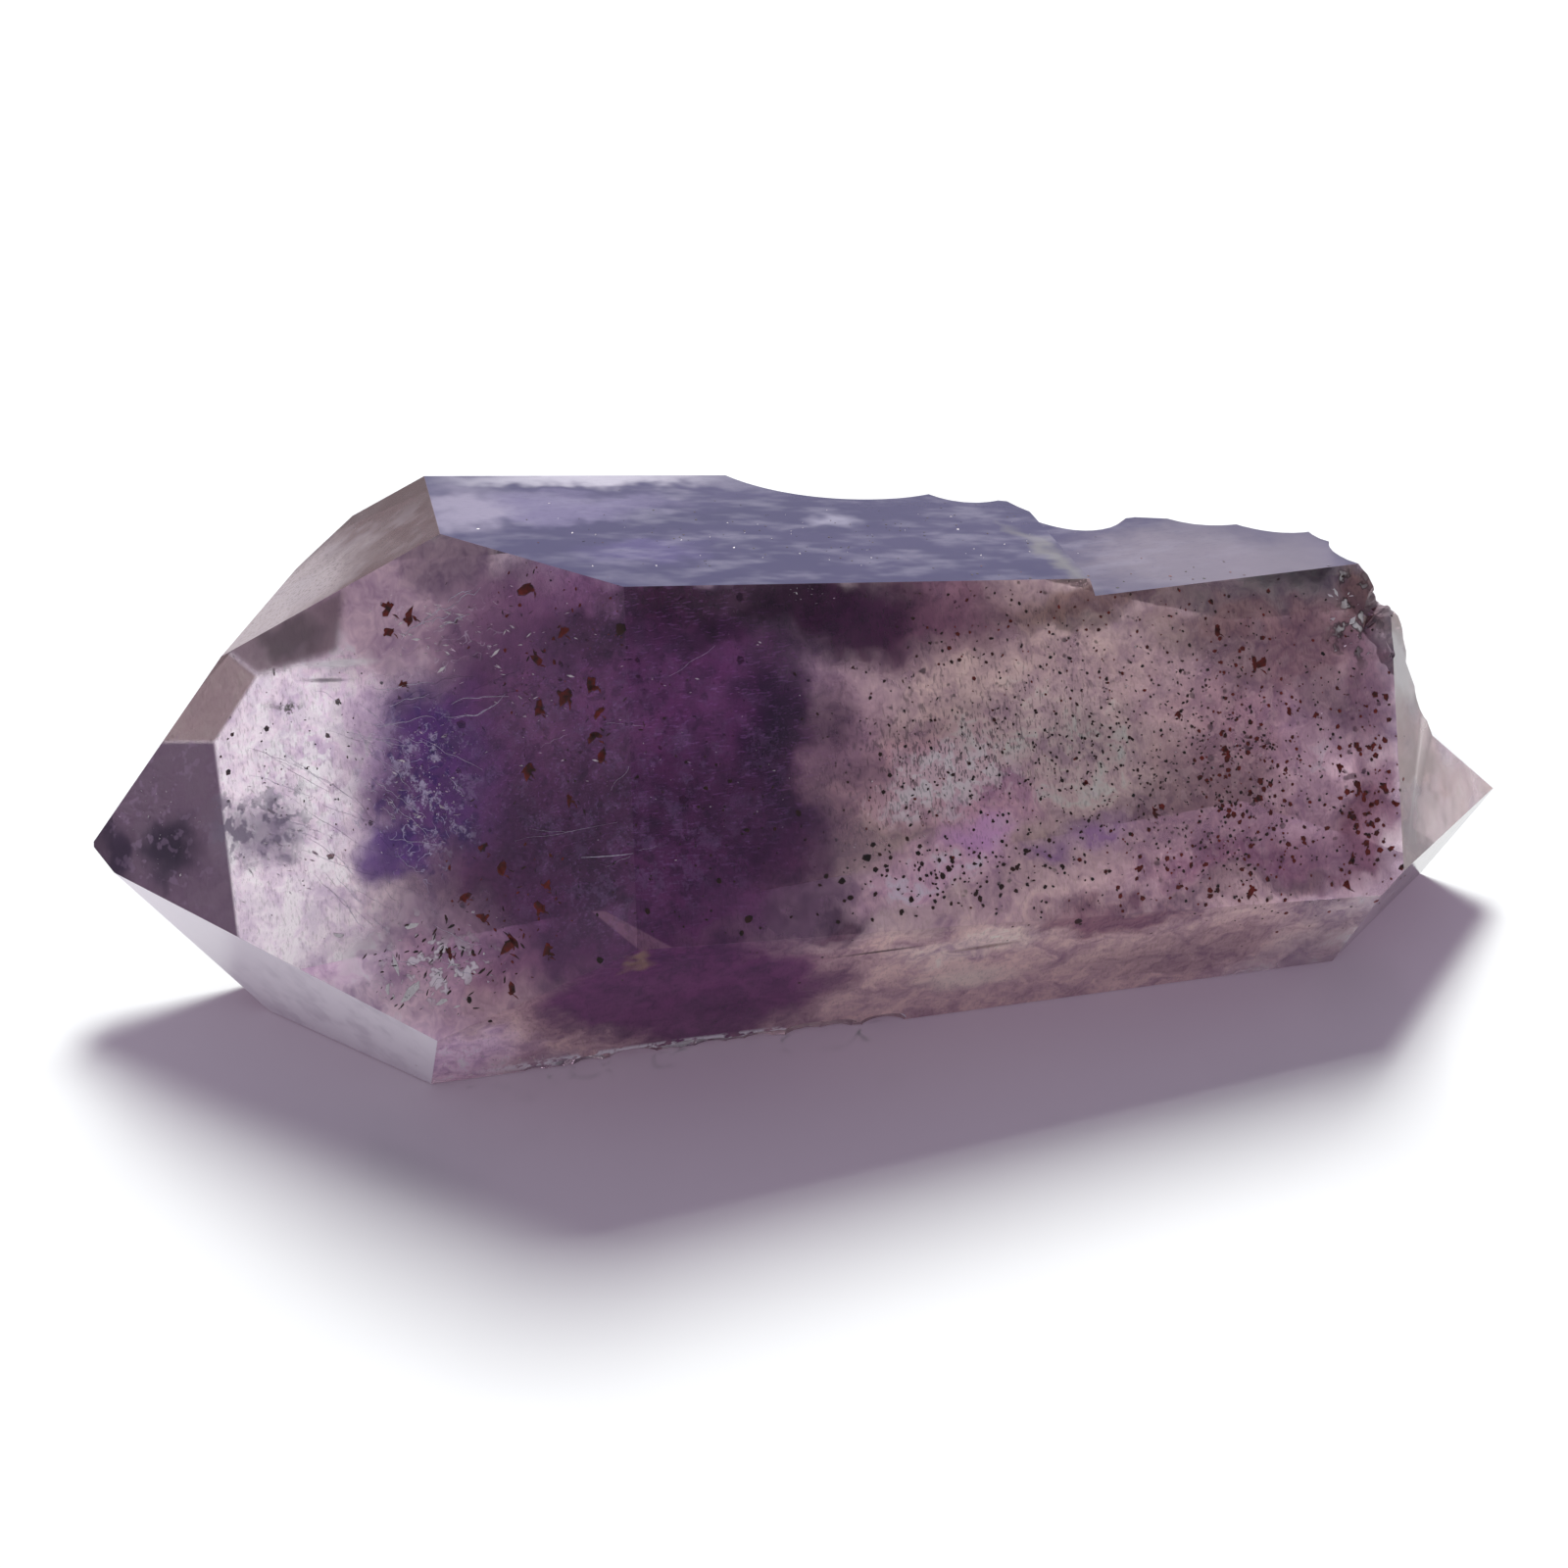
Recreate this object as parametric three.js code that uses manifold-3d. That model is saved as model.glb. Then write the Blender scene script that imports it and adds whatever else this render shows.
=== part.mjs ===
// A doubly terminated amethyst crystal that lies on one flat side, in millimetres, +Z up.
// +X runs along the crystal towards its small, sharp point. The origin is under its middle, on the ground.
// The left end is a full six-sided point. The right end is broken above, with a small point below.

import * as THREE from 'three';
import { mergeVertices } from 'three/addons/utils/BufferGeometryUtils.js';
import Module from 'manifold-3d';

// The rough block and how the long axis lies in it: millimetres and degrees
const blockLength = 90;
const blockSide = 60;
const axisHeight = 10;
const axisDip = 6.6;
const axisRoll = -5.5;

// The slope of a quartz point's faces against the prism, in degrees
const pointSlope = 38.2;

// Prism sides: around is the angle about the long axis, 0 towards the viewer and 90 up,
// lean is how far a side turns towards the left end, reach is its distance from the axis
const topSide = { around: 90, lean: -0.2, reach: 7.9 };
const topSideBeyondLedge = { around: 90, lean: 4.6, reach: 6.45 };
const prismSides = {
  front: { around: 30, lean: -1.2, reach: 7.75 },
  frontLower: { around: -30, lean: -1.9, reach: 11.55 },
  backLower: { around: -150, lean: 0, reach: 7.75 },
  back: { around: 150, lean: 0.6, reach: 10.4 },
};

// Faces of the left point: broad and narrow ones take turns, with a growth shoulder behind
const narrowTop = { around: 90, lean: pointSlope, reach: 15.8 };
const leftPoint = {
  narrowTop,
  broadFront: { around: 30, lean: pointSlope - 1.75, reach: 11.8 },
  narrowFrontLower: { around: -30, lean: pointSlope + 3, reach: 19.75 },
  broadBelow: { around: -90, lean: pointSlope + 1.4, reach: 24 },
  narrowBackLower: { around: -150, lean: pointSlope, reach: 23.4 },
  broadBack: { around: 150, lean: pointSlope + 0.65, reach: 19.4 },
  shoulder: { around: 128.3, lean: 51, reach: 20.8 },
};

// Faces of the small right point: the lower ones end the whole crystal, the upper ones only the point
const rightEnd = {
  front: { around: 30, lean: -pointSlope, reach: 19.8 },
  frontLower: { around: -30, lean: -pointSlope, reach: 21.95 },
  backLower: { around: -150, lean: -pointSlope, reach: 18.3 },
};
const smallPointTop = {
  top: { around: 90, lean: -pointSlope, reach: 16.6 },
  back: { around: 150, lean: -pointSlope, reach: 20.5 },
};

// The broken wall above the small point, and the ledges where growth layers end
const wall = { at: [22.4, -2.8, 16], facing: [0.93, 0.1, 0.36] };
const topLedge = { at: [10.6, 0, 16], facing: [1, 0.05, 0.2] };
const narrowTopLedge = { at: [-17.8, 9, 16.5], facing: [-0.5, 0.86, 0], depth: 0.25 };

// The slant break that took away the upper rear edge towards the right
const rearBreak = { at: [-2.3, 8.4, 17.45], facing: [0.27, 0.79, 0.55] };

// Shell-like breaks that shape the outline: an ellipsoid is scooped out around each place
const edgeBreaks = [
  { at: [4, 10.8, 20.4], radii: [7.6, 6.5, 6.4] },
  { at: [12.8, 8.6, 18.4], radii: [4.3, 7.1, 4.5] },
  { at: [21.4, 6.4, 18.2], radii: [4.6, 6.8, 4.6] },
];
const wallBreaks = [
  { at: [23.6, -5.4, 15.2], radii: [2.1, 2.1, 2.6] },
  { at: [21.6, -5.2, 16.2], radii: [2.3, 1.8, 1.7] },
];

// Rows of smaller scoops that leave a broken plane rough: their pitch, radii and how deep they bite
const rearRoughness = {
  at: [11, 5.5, 15.12], facing: rearBreak.facing, along: [0.96, -0.27, -0.09],
  rows: 2, columns: 7, pitch: 3.3, small: 2.8, large: 4.8, bite: 0.42,
};
const wallRoughness = {
  at: [23.26, 0.6, 12.85], facing: wall.facing, along: [-0.107, 1, 0],
  rows: 3, columns: 5, pitch: 2.3, small: 1.5, large: 2.6, bite: 0.5,
};

// Glassy knobs that the break left standing above the small point
const knobs = [
  { at: [22.7, -3.7, 12.3], radii: [1.7, 1.7, 1.9] },
  { at: [22.9, -0.4, 11.3], radii: [1.7, 2.2, 1.5] },
  { at: [21.6, 3.7, 11.9], radii: [2, 1.9, 1.7] },
];

// Chips along the lower front edge: where the row starts and ends, how many, and their sizes
const chipRow = { from: [-13.4, -8.1, 0], to: [1.6, -8.5, 0], count: 15, small: 0.35, large: 0.85 };

// How far the broken surfaces stand off a smooth shell, and the length of their small facets
const shellRelief = 0.02;
const knobRelief = 0.14;
const facetLength = 0.55;
const knobFacetLength = 1;
const finestDetail = 15;

const radians = THREE.MathUtils.degToRad;
const setting = new THREE.Matrix4().makeRotationFromEuler(
  new THREE.Euler(radians(axisRoll), radians(axisDip), 0, 'YXZ'),
);
const axisMiddle = new THREE.Vector3(0, 0, axisHeight);

const wasm = await Module();
wasm.setup();

// A solid for joining and cutting, from a closed three.js geometry
function solid(geometry) {
  const bare = geometry.clone();
  bare.deleteAttribute('normal');
  bare.deleteAttribute('uv');
  const merged = mergeVertices(bare);
  return new wasm.Manifold(
    new wasm.Mesh({
      numProp: 3,
      vertProperties: new Float32Array(merged.attributes.position.array),
      triVerts: new Uint32Array(merged.index.array),
    }),
  );
}

// The way that a crystal face looks, turned with the crystal as it lies
function faceNormal({ around, lean }) {
  const turn = radians(around);
  const slope = radians(lean);
  return new THREE.Vector3(
    -Math.sin(slope),
    -Math.cos(slope) * Math.cos(turn),
    Math.cos(slope) * Math.sin(turn),
  ).applyMatrix4(setting);
}

function facePoint(face) {
  return faceNormal(face).multiplyScalar(face.reach).add(axisMiddle);
}

// A block that fills the side which a plane faces
function blockBeyond(normal, point) {
  const turned = new THREE.Quaternion().setFromUnitVectors(new THREE.Vector3(0, 0, 1), normal);
  const geometry = new THREE.BoxGeometry(2 * blockLength, 2 * blockLength, blockLength)
    .translate(0, 0, blockLength / 2)
    .applyQuaternion(turned)
    .translate(point.x, point.y, point.z);
  return solid(geometry);
}

const beyondFace = (face) => blockBeyond(faceNormal(face), facePoint(face));
const cutByFaces = (body, faces) =>
  Object.values(faces).reduce((rest, face) => rest.subtract(beyondFace(face)), body);

function beyondPlane({ at, facing }) {
  return blockBeyond(new THREE.Vector3(...facing).normalize(), new THREE.Vector3(...at));
}

// An ellipsoid with the low waves of a glassy break, in facets of about the same length
function wavyShell({ at, radii }, relief = shellRelief, facet = facetLength) {
  const detail = Math.min(finestDetail, Math.round(Math.max(...radii) / facet));
  const geometry = new THREE.IcosahedronGeometry(1, detail);
  const position = geometry.attributes.position;
  const corner = new THREE.Vector3();
  for (let i = 0; i < position.count; i += 1) {
    corner.fromBufferAttribute(position, i);
    const broad = Math.sin(3.1 * corner.x + at[0]) * Math.cos(2.7 * corner.y + at[1]);
    const fine = Math.sin(6.3 * corner.z + 4.1 * corner.x + at[2]);
    corner.multiplyScalar(1 + relief * (broad + 0.5 * fine));
    position.setXYZ(i, corner.x, corner.y, corner.z);
  }
  return solid(geometry.scale(...radii).translate(...at));
}

// A steady stand-in for chance, from 0 to 1
function scatter(index, series) {
  const value = Math.sin(index * 12.9898 + series * 78.233) * 43758.5453;
  return value - Math.floor(value);
}

// Scoops spread over a plane in rows, each at its own place, size and depth
function scatteredShells({ at, facing, along, rows, columns, pitch, small, large, bite }) {
  const normal = new THREE.Vector3(...facing).normalize();
  const side = new THREE.Vector3(...along).normalize();
  const rise = normal.clone().cross(side);
  return Array.from({ length: rows * columns }, (_, index) => {
    const column = (index % columns) - (columns - 1) / 2 + 0.7 * (scatter(index, 1) - 0.5);
    const row = Math.floor(index / columns) - (rows - 1) / 2 + 0.7 * (scatter(index, 2) - 0.5);
    const radius = THREE.MathUtils.lerp(small, large, scatter(index, 3));
    const place = new THREE.Vector3(...at)
      .addScaledVector(side, column * pitch)
      .addScaledVector(rise, row * pitch)
      .addScaledVector(normal, radius - bite * (0.6 + 0.8 * scatter(index, 4)));
    return wavyShell({ at: place.toArray(), radii: [radius, radius, radius] });
  });
}

function edgeChips({ from, to, count, small, large }) {
  const start = new THREE.Vector3(...from);
  const end = new THREE.Vector3(...to);
  return Array.from({ length: count }, (_, index) => {
    const place = start.clone().lerp(end, (index + 0.6 * scatter(index, 1)) / count);
    const size = THREE.MathUtils.lerp(small, large, scatter(index, 2));
    const at = [place.x, place.y - 0.15 * scatter(index, 3), 0.25 * scatter(index, 4)];
    return wavyShell({ at, radii: [1.5 * size, size, 0.8 * size] });
  });
}

// The crystal with all its flat faces, before anything broke
const ground = { at: [0, 0, 0], facing: [0, 0, -1] };
const block = solid(new THREE.BoxGeometry(blockLength, blockSide, blockSide)).subtract(beyondPlane(ground));
const prism = cutByFaces(cutByFaces(cutByFaces(block, prismSides), leftPoint), rightEnd);
const leftOfLedge = prism.subtract(beyondFace(topSide)).subtract(beyondPlane(topLedge));
const toppedPrism = leftOfLedge.add(prism.subtract(beyondFace(topSideBeyondLedge)));

// The thin layer that ends at a ledge on the narrow face of the left point
const layerNormal = faceNormal(narrowTop);
const layerPoint = facePoint(narrowTop).addScaledVector(layerNormal, -narrowTopLedge.depth);
const layer = blockBeyond(layerNormal, layerPoint).intersect(beyondPlane(narrowTopLedge));

// The broken upper right end, then the small point in front of it
const shells = (places) => places.map((place) => wavyShell(place));
const cutAway = (body, cutters) => cutters.reduce((rest, cutter) => rest.subtract(cutter), body);
const wallCutters = [beyondPlane(wall), ...shells(wallBreaks), ...scatteredShells(wallRoughness)];
const rearCutters = [beyondPlane(rearBreak), ...shells(edgeBreaks), ...scatteredShells(rearRoughness)];
const brokenBody = cutAway(toppedPrism, wallCutters);
const smallPoint = cutByFaces(toppedPrism, smallPointTop);
const glassyKnobs = knobs
  .map((knob) => wavyShell(knob, knobRelief, knobFacetLength).intersect(toppedPrism));
const wholeCrystal = [smallPoint, ...glassyKnobs].reduce((body, piece) => body.add(piece), brokenBody);
const crystalSolid = cutAway(wholeCrystal, [layer, ...rearCutters, ...edgeChips(chipRow)]);

function meshGeometry(body) {
  const { vertProperties, triVerts } = body.getMesh();
  const geometry = new THREE.BufferGeometry();
  geometry.setAttribute('position', new THREE.BufferAttribute(new Float32Array(vertProperties), 3));
  geometry.setIndex(new THREE.BufferAttribute(new Uint32Array(triVerts), 1));
  geometry.computeVertexNormals();
  return geometry;
}

// The crystal stands centred on the origin, whatever its ends reach
const geometry = meshGeometry(crystalSolid);
geometry.computeBoundingBox();
const middle = geometry.boundingBox.getCenter(new THREE.Vector3());
geometry.translate(-middle.x, -middle.y, -geometry.boundingBox.min.z);

const amethyst = new THREE.MeshStandardMaterial({ color: 0x6b4a86, roughness: 0.08, metalness: 0 });
const crystal = new THREE.Mesh(geometry, amethyst);
crystal.name = 'crystal';

const specimen = new THREE.Group();
specimen.add(crystal);

export default specimen;
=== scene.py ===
"""Looks of a loose, doubly terminated amethyst crystal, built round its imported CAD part."""

import logging
import math
import random
from dataclasses import dataclass, field, replace
from enum import Enum

import bmesh
import bpy
from mathutils import Matrix, Quaternion, Vector, noise
from mathutils.bvhtree import BVHTree


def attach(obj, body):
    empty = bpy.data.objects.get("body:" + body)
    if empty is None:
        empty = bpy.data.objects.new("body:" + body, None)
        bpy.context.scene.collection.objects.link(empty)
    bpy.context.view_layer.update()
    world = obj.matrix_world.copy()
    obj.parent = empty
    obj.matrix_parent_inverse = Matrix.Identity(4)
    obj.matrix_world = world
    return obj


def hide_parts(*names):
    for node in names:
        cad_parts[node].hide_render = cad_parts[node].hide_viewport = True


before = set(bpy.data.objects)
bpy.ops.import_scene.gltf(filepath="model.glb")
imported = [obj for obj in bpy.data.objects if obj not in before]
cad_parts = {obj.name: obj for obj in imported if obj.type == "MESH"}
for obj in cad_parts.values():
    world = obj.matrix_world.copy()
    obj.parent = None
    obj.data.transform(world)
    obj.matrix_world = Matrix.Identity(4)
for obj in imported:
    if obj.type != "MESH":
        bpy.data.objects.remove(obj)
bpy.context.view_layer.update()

log = logging.getLogger("crystal")

MM = 0.001
QUARTZ_IOR = 1.544
PHOTO_SIDE = 1600
PIXEL_MM = 0.041
CRYSTAL_NODE = "crystal"


def linear(hex_colour: str) -> tuple[float, float, float, float]:
    """Turns an sRGB hex colour into the linear colour that a shader socket takes.

    Args:
        hex_colour: The colour as six hex digits after a hash sign.

    Returns:
        Red, green, blue and an alpha of 1.
    """
    shares = [int(hex_colour[i : i + 2], 16) / 255 for i in (1, 3, 5)]
    toe, slope, lift, power = 0.04045, 12.92, 0.055, 2.4
    return (*(s / slope if s <= toe else ((s + lift) / (1 + lift)) ** power for s in shares), 1.0)


def add_node(tree: bpy.types.NodeTree, kind: str, inputs: dict | None = None, **settings) -> bpy.types.Node:
    """Adds a node with its settings, and sets or links its inputs.

    Args:
        tree: The node tree that gets the node.
        kind: The node's type name.
        inputs: Values or output sockets, by input name or number.
        settings: The node's own properties.

    Returns:
        The new node.
    """
    node = tree.nodes.new(kind)
    for name, value in settings.items():
        setattr(node, name, value)
    for name, value in (inputs or {}).items():
        if isinstance(value, bpy.types.NodeSocket):
            tree.links.new(value, node.inputs[name])
        else:
            node.inputs[name].default_value = value
    return node


def empty_material(name: str) -> tuple[bpy.types.Material, bpy.types.NodeTree]:
    """Makes a material whose node tree is empty.

    Args:
        name: The material's name.

    Returns:
        The material and its node tree.
    """
    material = bpy.data.materials.new(name)
    material.use_nodes = True
    material.node_tree.nodes.clear()
    return material, material.node_tree


def cloudy(
    tree: bpy.types.NodeTree,
    size: float,
    detail: float,
    band: tuple[float, float],
    ends: tuple[float, float] = (0.0, 1.0),
) -> bpy.types.NodeSocket:
    """Adds a cloud noise in the piece's own space and leads it from one value to another.

    Args:
        tree: The material's node tree.
        size: The size of its largest billows, in millimetres.
        detail: How many finer layers it has.
        band: The noise values between which the result changes.
        ends: The result below and above that band.

    Returns:
        The result.
    """
    place = add_node(tree, "ShaderNodeTexCoord").outputs["Object"]
    inputs = {"Vector": place, "Scale": 1 / (size * MM), "Detail": detail}
    cloud = add_node(tree, "ShaderNodeTexNoise", inputs).outputs["Fac"]
    (low, high), (start, end) = band, ends
    led = {"Value": cloud, "From Min": low, "From Max": high, "To Min": start, "To Max": end}
    return add_node(tree, "ShaderNodeMapRange", led).outputs["Result"]


def finished_piece(
    name: str,
    bm: bmesh.types.BMesh,
    material: bpy.types.Material,
) -> bpy.types.Object:
    """Turns a bmesh into a piece of the crystal, at the origin, that rides with it.

    Args:
        name: The piece's name.
        bm: Its mesh in metres, which is freed.
        material: Its finish.

    Returns:
        The piece.
    """
    mesh = bpy.data.meshes.new(name)
    bm.to_mesh(mesh)
    bm.free()
    mesh.materials.append(material)
    piece = bpy.data.objects.new(name, mesh)
    bpy.context.scene.collection.objects.link(piece)
    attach(piece, "root")
    log.info("%s: %d faces", name, len(mesh.polygons))
    return piece


class HabitFace(Enum):
    """The crystal's own flat faces, by the direction that each one faces."""

    TOP = (0.118, 0.096, 0.988)
    FRONT = (0.088, -0.814, 0.574)
    FRONT_LOWER = (-0.015, -0.91, -0.415)
    BACK_LOWER = (-0.067, 0.814, -0.577)
    BACK = (0.038, 0.91, 0.413)
    TIP_NARROW = (-0.523, 0.076, 0.849)
    TIP_BROAD = (-0.536, -0.655, 0.533)
    TIP_LOWER = (-0.69, -0.685, -0.234)
    RIGHT_TIP = (0.667, -0.64, 0.382)
    RESTING = (0.0, 0.0, -1.0)

    def way(self) -> Vector:
        """The direction that the face looks in, of length 1."""
        return Vector(self.value).normalized()

    def mask(self) -> str:
        """The name of the face attribute that marks the face in the mesh."""
        return self.name.lower()


@dataclass(frozen=True)
class Plane:
    """A flat face of the quartz: a point on it and its outward normal."""

    point: Vector
    normal: Vector


@dataclass
class PhotoView:
    """Where the photograph was taken from, in millimetres and degrees."""

    target: tuple[float, float, float] = (-1.37, 0.52, 6.858)
    distance: float = 105.0
    elevation: float = 33.755
    turn: float = -11.889
    roll: float = -0.708
    focal_pixels: float = 2539.93
    sensor: float = 36.0
    near: float = 1.0
    far: float = 5000.0

    def pose(self) -> Matrix:
        """The camera's place and directions, in metres."""
        turned = Matrix.Rotation(math.radians(self.turn), 4, "Z")
        tipped = Matrix.Rotation(math.radians(90 - self.elevation), 4, "X")
        rolled = Matrix.Rotation(math.radians(self.roll), 4, "Z")
        facing = turned @ tipped @ rolled
        back = facing.col[2].xyz
        place = (Vector(self.target) + back * self.distance) * MM
        return Matrix.Translation(place) @ facing

    def place_camera(self) -> None:
        """Puts the scene's camera at the photograph's viewpoint."""
        data = bpy.data.cameras.new("photo_camera")
        data.sensor_fit = "HORIZONTAL"
        data.sensor_width = self.sensor
        data.lens = self.sensor * self.focal_pixels / PHOTO_SIDE
        data.clip_start = self.near * MM
        data.clip_end = self.far * MM
        camera = bpy.data.objects.new("photo_camera", data)
        camera.matrix_world = self.pose()
        bpy.context.scene.collection.objects.link(camera)
        bpy.context.scene.camera = camera

    def sight(self, pixel: tuple[float, float]) -> tuple[Vector, Vector]:
        """Finds the sight line of a pixel.

        Args:
            pixel: The place in the photograph, in its 1600 pixel frame.

        Returns:
            The viewpoint in metres and the line's direction.
        """
        pose = self.pose()
        half = PHOTO_SIDE / 2
        across, up = pixel[0] - half, half - pixel[1]
        seen = Vector((across / self.focal_pixels, up / self.focal_pixels, -1))
        return pose.translation, (pose.to_3x3() @ seen).normalized()

    def bent(self, ray: Vector, normal: Vector) -> Vector:
        """Bends a sight line as light bends where it enters the quartz.

        Args:
            ray: The line's direction.
            normal: The normal of the face that it enters by.

        Returns:
            The direction beyond the face.
        """
        share = 1 / QUARTZ_IOR
        cosine = -ray.dot(normal)
        beyond = math.sqrt(1 - share * share * (1 - cosine * cosine))
        return share * ray + (share * cosine - beyond) * normal

    def enter(self, pixel: tuple[float, float], face: Plane) -> tuple[Vector, Vector]:
        """Follows the sight line of a pixel into the quartz by a flat face.

        Args:
            pixel: The place in the photograph, in its 1600 pixel frame.
            face: The face that the sight line enters by.

        Returns:
            The point on the face, in metres, and the direction beyond it.
        """
        eye, ray = self.sight(pixel)
        entry = eye + ray * ((face.point - eye).dot(face.normal) / ray.dot(face.normal))
        return entry, self.bent(ray, face.normal)


class Border(Enum):
    """How the border of a colour zone runs."""

    CLOUDY = "pushed about widely, in billows"
    WISPY = "pushed about a little, in wisps"
    CRISP = "as it is"


@dataclass(frozen=True)
class Grain:
    """What breaks a colour zone up: its size in millimetres, its stretch round the girth, its softness.

    The detail and roughness say how far it goes down to fine dust.
    """

    size: float
    stretch: float = 1.0
    soft: float = 0.09
    veined: bool = False
    detail: float = 2.0
    roughness: float = 0.6


# Sugar goes down to dust, and dashes run along the crystal. Streaks are etched lines round the girth,
# drawn some three times coarser than the real ones, which would be too fine to show.
SUGAR = Grain(0.9, soft=0.11, detail=4.0, roughness=0.85)
FLECKS = Grain(0.55)
STREAKS = Grain(0.09, stretch=3.2)
DASHES = Grain(0.42, stretch=0.22)
CLOUDS = Grain(2.4, stretch=0.45, soft=0.3)
VEINS = Grain(1.5, stretch=0.7, soft=0.011, veined=True)

# A cloud noise hardly ever rises above the first value, or falls below it by more than the second.
NOISE_TOP = 0.665
NOISE_SPAN = 0.26


@dataclass(frozen=True)
class ColourZone:
    """A soft patch of colour in the quartz: where it shows, and its reach in millimetres.

    Milk is the share of cloudiness in it. A grain breaks the zone up and covers about the given share
    of it. A zone that is only on its own face lies on that face's skin.
    """

    pixel: tuple[float, float]
    along: float
    across: float
    tint: str
    milk: float = 0.5
    strength: float = 1.0
    heart: float = 0.3
    deep: float = 60.0
    tilt: float = 0.0
    face: HabitFace = HabitFace.FRONT
    border: Border = Border.CLOUDY
    grain: Grain | None = None
    cover: float = 0.5
    only: bool = False

    def setting(self, view: PhotoView, plane: Plane) -> tuple[tuple[Vector, ...], Vector, Vector]:
        """Works out how the zone lies in the quartz, with its depth along the bent sight line.

        Args:
            view: The photograph's viewpoint.
            plane: The face that the zone shows through.

        Returns:
            Its three directions, its middle along them in metres, and its reach in metres.
        """
        _, inward = view.enter((PHOTO_SIDE / 2, PHOTO_SIDE / 2), plane)
        inward.normalize()
        side = Vector((1, 0, 0))
        side = (side - inward * side.dot(inward)).normalized()
        side.rotate(Quaternion(inward, math.radians(self.tilt)))
        ways = (side, inward, side.cross(inward))
        point, _ = view.enter(self.pixel, plane)
        middle = Vector([point.dot(way) for way in ways])
        return ways, middle, Vector((self.along, self.deep, self.across)) * MM


@dataclass(frozen=True)
class PaintedRefractionOrRodPatch:
    """A patch with straight, crisp sides: painted refraction of what a hidden facet shows through the face
    before it, or a real rod.
    """

    corners: tuple[tuple[float, float], ...]
    tint: str
    milk: float = 0.4
    strength: float = 1.0
    soft: float = 0.12
    face: HabitFace = HabitFace.TIP_BROAD

    def sides(self, view: PhotoView, plane: Plane) -> list[tuple[Vector, float]]:
        """Works out the planes that bound the patch, one through each side along the line of sight.

        Args:
            view: The photograph's viewpoint.
            plane: The face that the patch shows through.

        Returns:
            Each plane's inward normal and its offset in metres.
        """
        seen = [view.enter(corner, plane) for corner in self.corners]
        middle = sum((point for point, _ in seen), Vector()) / len(seen)
        found = []
        for (here, inward), (there, _) in zip(seen, seen[1:] + seen[:1]):
            normal = (there - here).cross(inward).normalized()
            if normal.dot(middle - here) < 0:
                normal.negate()
            found.append((normal, normal.dot(here)))
        return found


BROAD = HabitFace.TIP_BROAD
NARROW = HabitFace.TIP_NARROW
UNDER = HabitFace.TIP_LOWER
LOWER = HabitFace.FRONT_LOWER
TOP = HabitFace.TOP
BASE = HabitFace.RESTING
SMALL = HabitFace.RIGHT_TIP
WISPY, CRISP = Border.WISPY, Border.CRISP

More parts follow.
